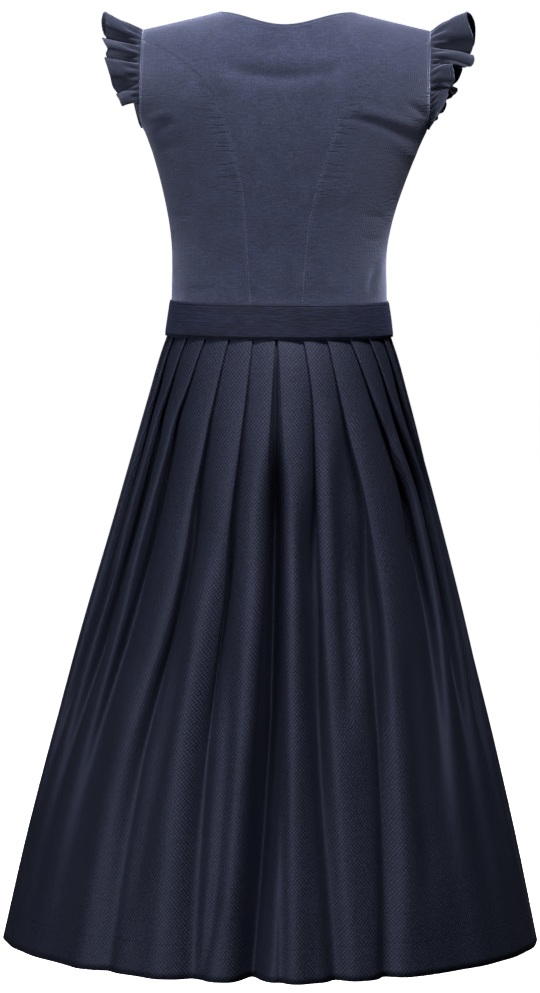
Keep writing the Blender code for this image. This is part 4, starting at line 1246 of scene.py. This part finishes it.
def figured_cloth(name, scene):
    """Dark navy woven cloth with a low sheen and a net of small lozenges, a common woven figure.

    The net's threads float on the matt ground and catch a little more light, so the eye sees a faint
    light net with brighter points where its lines cross, on a grainy ground. A real lozenge is finer
    than would show here, so it is drawn as wide as the figure size, and a little higher.
    """
    colours, sizes = scene.dirndl_colours, scene.dirndl_sizes
    finish, tree, shader = new_material(name, colours.skirt, 0.62)
    uv = add(tree, "ShaderNodeUVMap", {"uv_map": "cloth"}, {})
    split = add(tree, SPLIT, {}, {0: uv})
    place = add(tree, "ShaderNodeTexCoord", {}, {}).outputs["Object"]
    across = add(tree, MATH, TIMES, {0: split, 1: 1 / sizes.figure})
    down = add(tree, MATH, TIMES, {0: split.outputs[1], 1: 1 / (1.1 * sizes.figure)})
    net = 0.0
    for sign in (1.0, -1.0):
        diagonal = add(tree, MATH, TIMES_PLUS, {0: down, 1: sign, 2: across})
        part = add(tree, MATH, {"operation": "FRACT"}, {0: diagonal})
        centred = add(tree, MATH, LESS, {0: part, 1: 0.5})
        far = add(tree, MATH, SIZE_OF, {0: centred})
        line = add(tree, RANGE, SMOOTH, {"Value": far, **dict(zip(LIMITS, (0.08, 0.34, 0.5, 0.0)))})
        net = add(tree, MATH, {"operation": "ADD"}, {0: line, 1: net})
    # Grain of 1.9 mm, clouds of 70 mm, and the hem's stitching
    grain = add(tree, NOISE, {}, {"Vector": place, "Scale": 520.0, "Detail": 2.0})
    cloud = add(tree, NOISE, {}, {"Vector": place, "Scale": 14.0, "Detail": 4.0})
    hem_line = (SKIRT_TOP - HEM) * MILLIMETRE - sizes.hem_turn
    off = add(tree, MATH, LESS, {0: split.outputs[1], 1: hem_line})
    away = add(tree, MATH, SIZE_OF, {0: off})
    hem = add(tree, RANGE, SMOOTH, {"Value": away, **dict(zip(LIMITS, (0.0004, 0.0016, 1.0, 0.0)))})
    colour_by(tree, shader, colours.skirt, (
        (net, 0.0, 1.0, 0.35, 2.7), (grain, 0.3, 0.7, 0.4, 1.7), (cloud, 0.3, 0.7, 0.9, 1.1),
        (hem, 0.0, 1.0, 1.0, 0.9)))
    raise_by(tree, shader, ((net, 0.16), (grain, 0.55), (hem, -0.15)), MILLIMETRE, 0.7)
    shader.inputs["Specular IOR Level"].default_value = 0.36
    shader.inputs["Specular Tint"].default_value = (*hex_colour("#b2b9e2"), 1.0)
    return finish


def aged_metal(name, scene):
    """Cast and tumbled grey metal: a soft gloss, broken by dull and bright clouds of 2.4 mm."""
    finish, tree, shader = new_material(name, scene.dirndl_colours.metal, 0.38)
    place = add(tree, "ShaderNodeTexCoord", {}, {}).outputs["Object"]
    cloud = add(tree, NOISE, {}, {"Vector": place, "Scale": 420.0, "Detail": 3.0})
    amount = add(tree, RANGE, {}, {"Value": cloud, **dict(zip(LIMITS, (0.3, 0.7, 0.55, 1.15)))})
    colour_by(tree, shader, scene.dirndl_colours.metal, ((amount, 0.0, 1.0, 0.0, 1.0),))
    raise_by(tree, shader, ((cloud, 0.2),), MILLIMETRE, 0.5)
    shader.inputs["Metallic"].default_value = 0.9
    return finish


def sewing_thread(name, scene):
    """Spun polyester sewing thread: matt, lighter than the corduroy, with a twist of 0.7 mm."""
    finish, tree, shader = new_material(name, scene.dirndl_colours.thread, 0.8)
    place = add(tree, "ShaderNodeTexCoord", {}, {}).outputs["Object"]
    twist = add(tree, NOISE, {}, {"Vector": place, "Scale": 1500.0, "Detail": 1.0})
    raise_by(tree, shader, ((twist, 0.2),), MILLIMETRE, 0.5)
    return finish


def studio_paper(name, scene):
    """Matt white studio paper that glows a little, so that it looks even and shows no shadow."""
    finish, tree, shader = new_material(name, scene.dirndl_colours.paper, 0.95)
    place = add(tree, "ShaderNodeTexCoord", {}, {}).outputs["Object"]
    pulp = add(tree, NOISE, {}, {"Vector": place, "Scale": 300.0})
    raise_by(tree, shader, ((pulp, 0.3),), MILLIMETRE, 0.2)
    shader.inputs["Emission Color"].default_value = (1.0, 1.0, 1.0, 1.0)
    shader.inputs["Emission Strength"].default_value = 0.95
    return finish


FINISHES = {
    "Fine-wale corduroy": corduroy,
    "Slubbed band cloth": slub_cloth,
    "Figured woven cloth": figured_cloth,
    "Aged cast metal": aged_metal,
    "Spun sewing thread": sewing_thread,
    "Matt studio paper": studio_paper,
}


def finish_of(name):
    """The scene's finish of this name, made the first time it is asked for."""
    found = bpy.data.materials.get(name)
    if found is not None:
        return found
    return FINISHES[name](name, bpy.context.scene)


class DirndlSizes(bpy.types.PropertyGroup):
    """Sizes that a user would change."""
    wale: bpy.props.FloatProperty(
        name="Wale", description="Spacing of the drawn corduroy ribs",
        default=0.0030, unit="LENGTH")
    figure: bpy.props.FloatProperty(
        name="Figure", description="Width of one lozenge in the skirt's figure",
        default=0.0044, unit="LENGTH")
    stitch_in: bpy.props.FloatProperty(
        name="Edge stitching", description="Distance of the top stitching from the edges",
        default=0.0036, unit="LENGTH")
    hem_turn: bpy.props.FloatProperty(
        name="Hem", description="Depth of the skirt's hem", default=0.038, unit="LENGTH")
    grid_step: bpy.props.FloatProperty(
        name="Grid step", description="Spacing of the bodice's grid", default=0.004, unit="LENGTH")


class DirndlColours(bpy.types.PropertyGroup):
    """Colours that a user would change."""
    corduroy: bpy.props.FloatVectorProperty(
        name="Corduroy", description="Bodice and frills", subtype="COLOR", default=hex_colour("#23273a"))
    band: bpy.props.FloatVectorProperty(
        name="Band", description="Waistband", subtype="COLOR", default=hex_colour("#131627"))
    skirt: bpy.props.FloatVectorProperty(
        name="Skirt", description="Ground of the skirt's figured cloth",
        subtype="COLOR", default=hex_colour("#10121c"))
    metal: bpy.props.FloatVectorProperty(
        name="Buttons", description="Aged metal", subtype="COLOR", default=hex_colour("#9a9890"))
    thread: bpy.props.FloatVectorProperty(
        name="Thread", description="Sewing thread", subtype="COLOR", default=hex_colour("#5d6480"))
    paper: bpy.props.FloatVectorProperty(
        name="Studio", description="Paper floor", subtype="COLOR", default=hex_colour("#f4f4f4"))


def column_top(face):
    """Height where the princess seam runs into the armhole."""
    return BACK_ARM_LEVELS[-1] if face > 0 else FRONT_ARM_LEVELS[-1]


def bodice_panel(name, grid, face, seam_columns, edges, creases, rule):
    """One bodice panel with its creases and the values that its corduroy reads.

    Its wales stand upright where the panel's rule lies, a share of the body's half width, or at the
    middle where there is none, and the other wales follow at even lengths along the cloth.
    """
    free = np.ones(grid.shape[:2])
    free[:, 0] = free[:, -1] = EDGE_HOLD
    out = crease_field(grid[..., 0], grid[..., 2], creases) * free
    grid = grid + grid_normals(grid) * out[..., None]
    level = grid[:, grid.shape[1] // 2, 2]
    if rule is None:
        offset = length_on_body(np.zeros(len(grid)), grid[:, 0, 0], level, face)
    else:
        ruled = rule * look_up(BODY, "half_width", level)
        offset = length_on_body(ruled, np.abs(grid[:, 0, 0]), level, face)
    u = row_lengths(grid) + offset[:, None]
    uv = pairs(u, grid[..., 2])
    seam = np.full(u.shape, FAR_OFF)
    for column in seam_columns:
        sewn = grid[:, column][grid[:, column, 2] <= column_top(face)]
        seam = np.minimum(seam, distance_to(grid, sewn))
    edge = np.full(u.shape, FAR_OFF)
    for line in edges:
        edge = np.minimum(edge, distance_to(grid, line(grid)))
    # under is 1 on the panels under the arms, where the seams' folds and the puckers get painted shade
    under = np.full(u.shape, 0.0 if rule is None or len(seam_columns) == 1 else 1.0)
    values = dict(zip(CORD_VALUES, (edge, seam, under, 0 * seam)))
    finish = finish_of("Fine-wale corduroy")
    return cloth(name + "_cloth", grid, uv, values, CORD_WALL, 1.0, finish, "corduroy", [name])


class DIRNDL_OT_back(bpy.types.Operator):
    """Makes the bodice's middle back and the panels under the arms"""
    bl_idname = "dirndl.back"
    bl_label = "Bodice back"

    def execute(self, context):
        step = context.scene.dirndl_sizes.grid_step / MILLIMETRE
        neck_share = NECK_HALF / TIP_HALF
        under_neck = np.linspace(0.0, neck_share, CENTRE_COLUMNS[0])
        half = np.concatenate([under_neck, np.linspace(neck_share, 1.0, CENTRE_COLUMNS[1])[1:]])
        across = np.concatenate([-half[:0:-1], half])
        grid = back_centre_grid(across, step)
        top = column_top(1)
        arms = [lambda g: g[g[:, 0, 2] > top, 0], lambda g: g[g[:, -1, 2] > top, -1]]
        neck = [lambda g: g[-1, np.abs(g[-1, :, 0]) <= NECK_HALF + 1]]
        piece = bodice_panel("back_centre", grid, 1, (0, -1), arms + neck, BACK_CREASES, None)
        for side, word in SIDES:
            grid = side_panel(1, side, BACK_ARM_LEVELS, BACK_SEAM, SIDE_BACK_COLUMNS, step)
            arm = [lambda g: g[g[:, -1, 2] > UNDERARM, -1]]
            piece = bodice_panel("side_back_" + word, grid, 1, (0, -1), arm, BACK_CREASES, SIDE_RULE)
        return {"FINISHED"}


class DIRNDL_OT_front(bpy.types.Operator):
    """Makes the bodice's fronts and the panels under the arms in front"""
    bl_idname = "dirndl.front"
    bl_label = "Bodice front"

    def execute(self, context):
        step = context.scene.dirndl_sizes.grid_step / MILLIMETRE
        top = column_top(-1)
        for side, word in SIDES:
            grid = front_grid(side, FRONT_COLUMNS, step)
            lines = [lambda g: g[g[:, -1, 2] > top, -1], lambda g: g[:, 0]]
            piece = bodice_panel("front_" + word, grid, -1, (-1,), lines, FRONT_CREASES, FRONT_RULE)
            grid = side_panel(-1, side, FRONT_ARM_LEVELS, FRONT_SEAM, SIDE_FRONT_COLUMNS, step)
            arm = [lambda g: g[g[:, -1, 2] > UNDERARM, -1]]
            piece = bodice_panel("side_front_" + word, grid, -1, (0, -1), arm, FRONT_CREASES, SIDE_RULE)
        return {"FINISHED"}


class DIRNDL_OT_frills(bpy.types.Operator):
    """Makes the gathered cap frills and their narrow hems"""
    bl_idname = "dirndl.frills"
    bl_label = "Cap frills"

    def execute(self, context):
        finish = finish_of("Fine-wale corduroy")
        for side, word in SIDES:
            grid, reach, at = frill_grid(side, FRILL_COLUMN_COUNT, FRILL_ROW_COUNT)
            uv = pairs(reach, at)
            none = np.zeros(reach.shape)
            # A frill value of 1 makes the corduroy paint the frill darker, as painted shade
            values = dict(zip(CORD_VALUES, (reach[-1] - reach, none + FAR_OFF, none, none + 1)))
            piece = cloth("ruffle_" + word + "_cloth", grid, uv, values, FRILL_WALL, 0.0, finish,
                          "corduroy", ["ruffle_" + word])
            ring = tube(stand(grid[-1]), HEM_RADIUS, HEM_SIDES)
            faces = quads_of(*ring.shape[:2], True)[:, ::-1]
            hem_uv = pairs(np.arange(float(HEM_SIDES)), at[-1][:, None]).reshape(-1, 2)
            none = np.zeros(len(hem_uv))
            # The hem too carries the frill value, so it is painted darker as painted shade
            values = dict(zip(CORD_VALUES, (none, none + FAR_OFF, none, none + 1)))
            mesh = make_mesh("hem", ring.reshape(-1, 3), faces, hem_uv, values)
            hem = put("ruffle_" + word + "_hem", mesh, finish, "corduroy")
        return {"FINISHED"}


class DIRNDL_OT_band(bpy.types.Operator):
    """Makes the waistband and the seam allowances turned in under it"""
    bl_idname = "dirndl.band"
    bl_label = "Waistband"

    def execute(self, context):
        grid = waistband_grid(BAND_COLUMNS, BAND_ROWS)
        normal = grid_normals(grid)
        up = np.linspace(0.0, 1.0, BAND_ROWS)[:, None]
        around = row_lengths(grid)
        drift = BAND_DRIFT * np.sin(around / BAND_DRIFT_RUN)
        soft = BAND_SWELL * np.sin(around / BAND_SWELL_RUN + drift) * np.sin(math.pi * up)
        roll = -BAND_SWELL * (smoothstep(1 - up / BAND_EDGE) + smoothstep(1 - (1 - up) / BAND_EDGE))
        grid = grid + normal * (soft + roll)[..., None]
        uv = pairs(around, up * (BAND_TOP - BAND_BOTTOM))
        finish = finish_of("Slubbed band cloth")
        piece = cloth("waistband_cloth", grid, uv, {}, BAND_WALL, 1.0, finish, "band_cloth", ["waistband"])
        ring = turned_in_grid(BAND_COLUMNS)
        uv = pairs(row_lengths(ring), np.linspace(0.0, TURNED_IN, len(ring))[:, None])
        turned_in = cloth("waist_seam_allowance", ring, uv, {}, TURNED_IN_WALL, 0.0, finish,
                          "band_cloth", [])
        return {"FINISHED"}


class DIRNDL_OT_skirt(bpy.types.Operator):
    """Makes the pleated skirt in its back and front widths"""
    bl_idname = "dirndl.skirt"
    bl_label = "Skirt"

    def execute(self, context):
        finish = finish_of("Figured woven cloth")
        made = skirt_grids(SKIRT_ROW_COUNT, SKIRT_PARTS)
        for name, hangs in (("back", BACK_HANGS), ("front", FRONT_HANGS)):
            grid, length = made[name]
            out = unit(grid * np.array([1.0, 1.0, 0.0]))
            grid = grid + out * hang_field(grid, hangs)[..., None]
            uv = pairs(length, SKIRT_TOP - grid[..., 2])
            piece = cloth("skirt_" + name + "_cloth", grid, uv, {}, SKIRT_WALL, 0.0, finish,
                          "skirt_cloth", ["skirt_" + name])
        return {"FINISHED"}


class DIRNDL_OT_buttons(bpy.types.Operator):
    """Makes the buttons and their buttonholes"""
    bl_idname = "dirndl.buttons"
    bl_label = "Buttons"

    def execute(self, context):
        metal = finish_of("Aged cast metal")
        thread = finish_of("Spun sewing thread")
        band_build = BAND_CLEAR + LAP_RAISE + BAND_LAP_RAISE + BAND_WALL - CORD_WALL + BAND_BUTTON_CLEAR
        rows = []
        for k in range(BUTTON_COUNT):
            height = BUTTON_TOP + (BUTTON_BOTTOM - BUTTON_TOP) * k / (BUTTON_COUNT - 1)
            rows.append(("button_%d" % (k + 1), height, LAP_RAISE))
        rows.append(("band_button", 0.5 * (BAND_TOP + BAND_BOTTOM), band_build))
        form = button_form(BUTTON_SIDES)
        # The buttonhole's ring is a flat oval, wide by a power of the cosine and high by the sine
        for name, height, extra in rows:
            foot, across, up, out = button_place(height, extra)
            points = foot + form[..., 0:1] * across + form[..., 1:2] * up + form[..., 2:3] * out
            faces = quads_of(*form.shape[:2], True)[:, ::-1]
            mesh = make_mesh(name, stand(points.reshape(-1, 3)), faces, None, {})
            put(name + "_metal", mesh, metal, "buttons", [name])
            turn = np.linspace(0.0, 2 * math.pi, HOLE_POINTS)[:, None]
            drop = BUTTON_CLEAR + (BAND_HOLE_DROP if name == "band_button" else 0.0)
            aside = HOLE_HALF * np.sign(np.cos(turn)) * np.abs(np.cos(turn)) ** HOLE_SQUARENESS
            path = foot - out * drop + aside * across + HOLE_HALF_WIDTH * np.sin(turn) * up
            ring = tube(stand(path), THREAD_RADIUS, THREAD_SIDES)
            faces = quads_of(*ring.shape[:2], True)[:, ::-1]
            mesh = make_mesh(name + "_hole", ring.reshape(-1, 3), faces, None, {})
            put(name + "_hole_stitches", mesh, thread, "corduroy")
        return {"FINISHED"}


def paper_dish(floor_height, radius, bend, top):
    """Round sweep of paper, flat underfoot and turned up all round.

    A ring at each distance from the middle. The distance runs out flat to radius - bend, follows a
    quarter circle of radius bend (distance by its sine, height by one less its cosine), then stands
    upright to the top.
    """
    turn = np.linspace(0.0, math.pi / 2, 17)
    out = np.concatenate([[1.0, 3000.0, 8000.0], radius - bend + bend * np.sin(turn), [radius]])
    rise = np.concatenate([[0.0] * 3, bend - bend * np.cos(turn), [top]]) + floor_height
    angle = np.linspace(0.0, 2.0 * math.pi, 97)
    rings = (out[:, None] * np.cos(angle), out[:, None] * np.sin(angle), rise[:, None])
    return np.stack(np.broadcast_arrays(*rings), axis=-1)


class DIRNDL_OT_stage(bpy.types.Operator):
    """Makes the white studio, its soft lights and the camera"""
    bl_idname = "dirndl.stage"
    bl_label = "Studio"

    def execute(self, context):
        scene = context.scene
        grid = paper_dish(floor_height=-1420.0, radius=16000.0, bend=2500.0, top=6500.0)
        faces = quads_of(*grid.shape[:2], False)
        mesh = make_mesh("studio_floor", grid.reshape(-1, 3), faces, None, {})
        mesh.materials.append(finish_of("Matt studio paper"))
        floor = place_in_scene("studio_floor", mesh)
        floor.visible_diffuse = False
        floor.visible_glossy = False

        world = bpy.data.worlds.new("White studio")
        world.use_nodes = True
        sky = world.node_tree.nodes["Background"]
        sky.inputs[0].default_value = (1.0, 1.0, 1.0, 1.0)
        sky.inputs[1].default_value = SKY_LIGHT
        scene.world = world

        for name, place, aim, size, power in LIGHTS:
            lamp = bpy.data.lights.new(name, "AREA")
            lamp.shape = "RECTANGLE"
            lamp.size, lamp.size_y = size
            lamp.energy = power
            thing = place_in_scene(name, lamp)
            thing.location = place
            thing.rotation_euler = look_from(place, aim, 0.0)

        camera = bpy.data.cameras.new("camera")
        camera.sensor_width = 36.0
        camera.lens = CAMERA_LENS
        viewer = place_in_scene("camera", camera)
        turned = math.radians(CAMERA_TURN)
        seat = (-CAMERA_AWAY * math.sin(turned), CAMERA_AWAY * math.cos(turned), CAMERA_HEIGHT)
        viewer.location = seat
        viewer.rotation_euler = look_from(seat, CAMERA_AIM, math.radians(CAMERA_ROLL))
        scene.camera = viewer
        scene.view_settings.view_transform = "Standard"
        return {"FINISHED"}


def look_from(place, aim, roll):
    """Turn of a camera or lamp at a place that faces the aim, rolled clockwise in its own view."""
    facing = (Vector(aim) - Vector(place)).to_track_quat("-Z", "Y").to_matrix()
    return (facing @ Matrix.Rotation(roll, 3, "Z")).to_euler()


class DIRNDL_PT_panel(bpy.types.Panel):
    """Lists the dirndl's pieces and their sizes"""
    bl_label = "Dirndl"
    bl_idname = "DIRNDL_PT_panel"
    bl_space_type = "VIEW_3D"
    bl_region_type = "UI"
    bl_category = "Dirndl"

    def draw(self, context):
        for made in PIECES:
            self.layout.operator(made.bl_idname)
        for group in (context.scene.dirndl_sizes, context.scene.dirndl_colours):
            for key in group.bl_rna.properties.keys():
                if key not in ("rna_type", "name"):
                    self.layout.prop(group, key)


PIECES = (DIRNDL_OT_back, DIRNDL_OT_front, DIRNDL_OT_frills, DIRNDL_OT_band, DIRNDL_OT_skirt,
          DIRNDL_OT_buttons, DIRNDL_OT_stage)
CLASSES = (DirndlSizes, DirndlColours) + PIECES + (DIRNDL_PT_panel,)


def register():
    """Registers the classes, and the sizes and colours as the scene's own."""
    for made in CLASSES:
        bpy.utils.register_class(made)
    bpy.types.Scene.dirndl_sizes = bpy.props.PointerProperty(type=DirndlSizes)
    bpy.types.Scene.dirndl_colours = bpy.props.PointerProperty(type=DirndlColours)


def unregister():
    """Takes back what register made, in the opposite order."""
    del bpy.types.Scene.dirndl_colours
    del bpy.types.Scene.dirndl_sizes
    for made in reversed(CLASSES):
        bpy.utils.unregister_class(made)


def main():
    register()
    bpy.ops.dirndl.back()
    bpy.ops.dirndl.front()
    bpy.ops.dirndl.frills()
    bpy.ops.dirndl.band()
    bpy.ops.dirndl.skirt()
    bpy.ops.dirndl.buttons()
    bpy.ops.dirndl.stage()


if __name__ == "__main__":
    main()
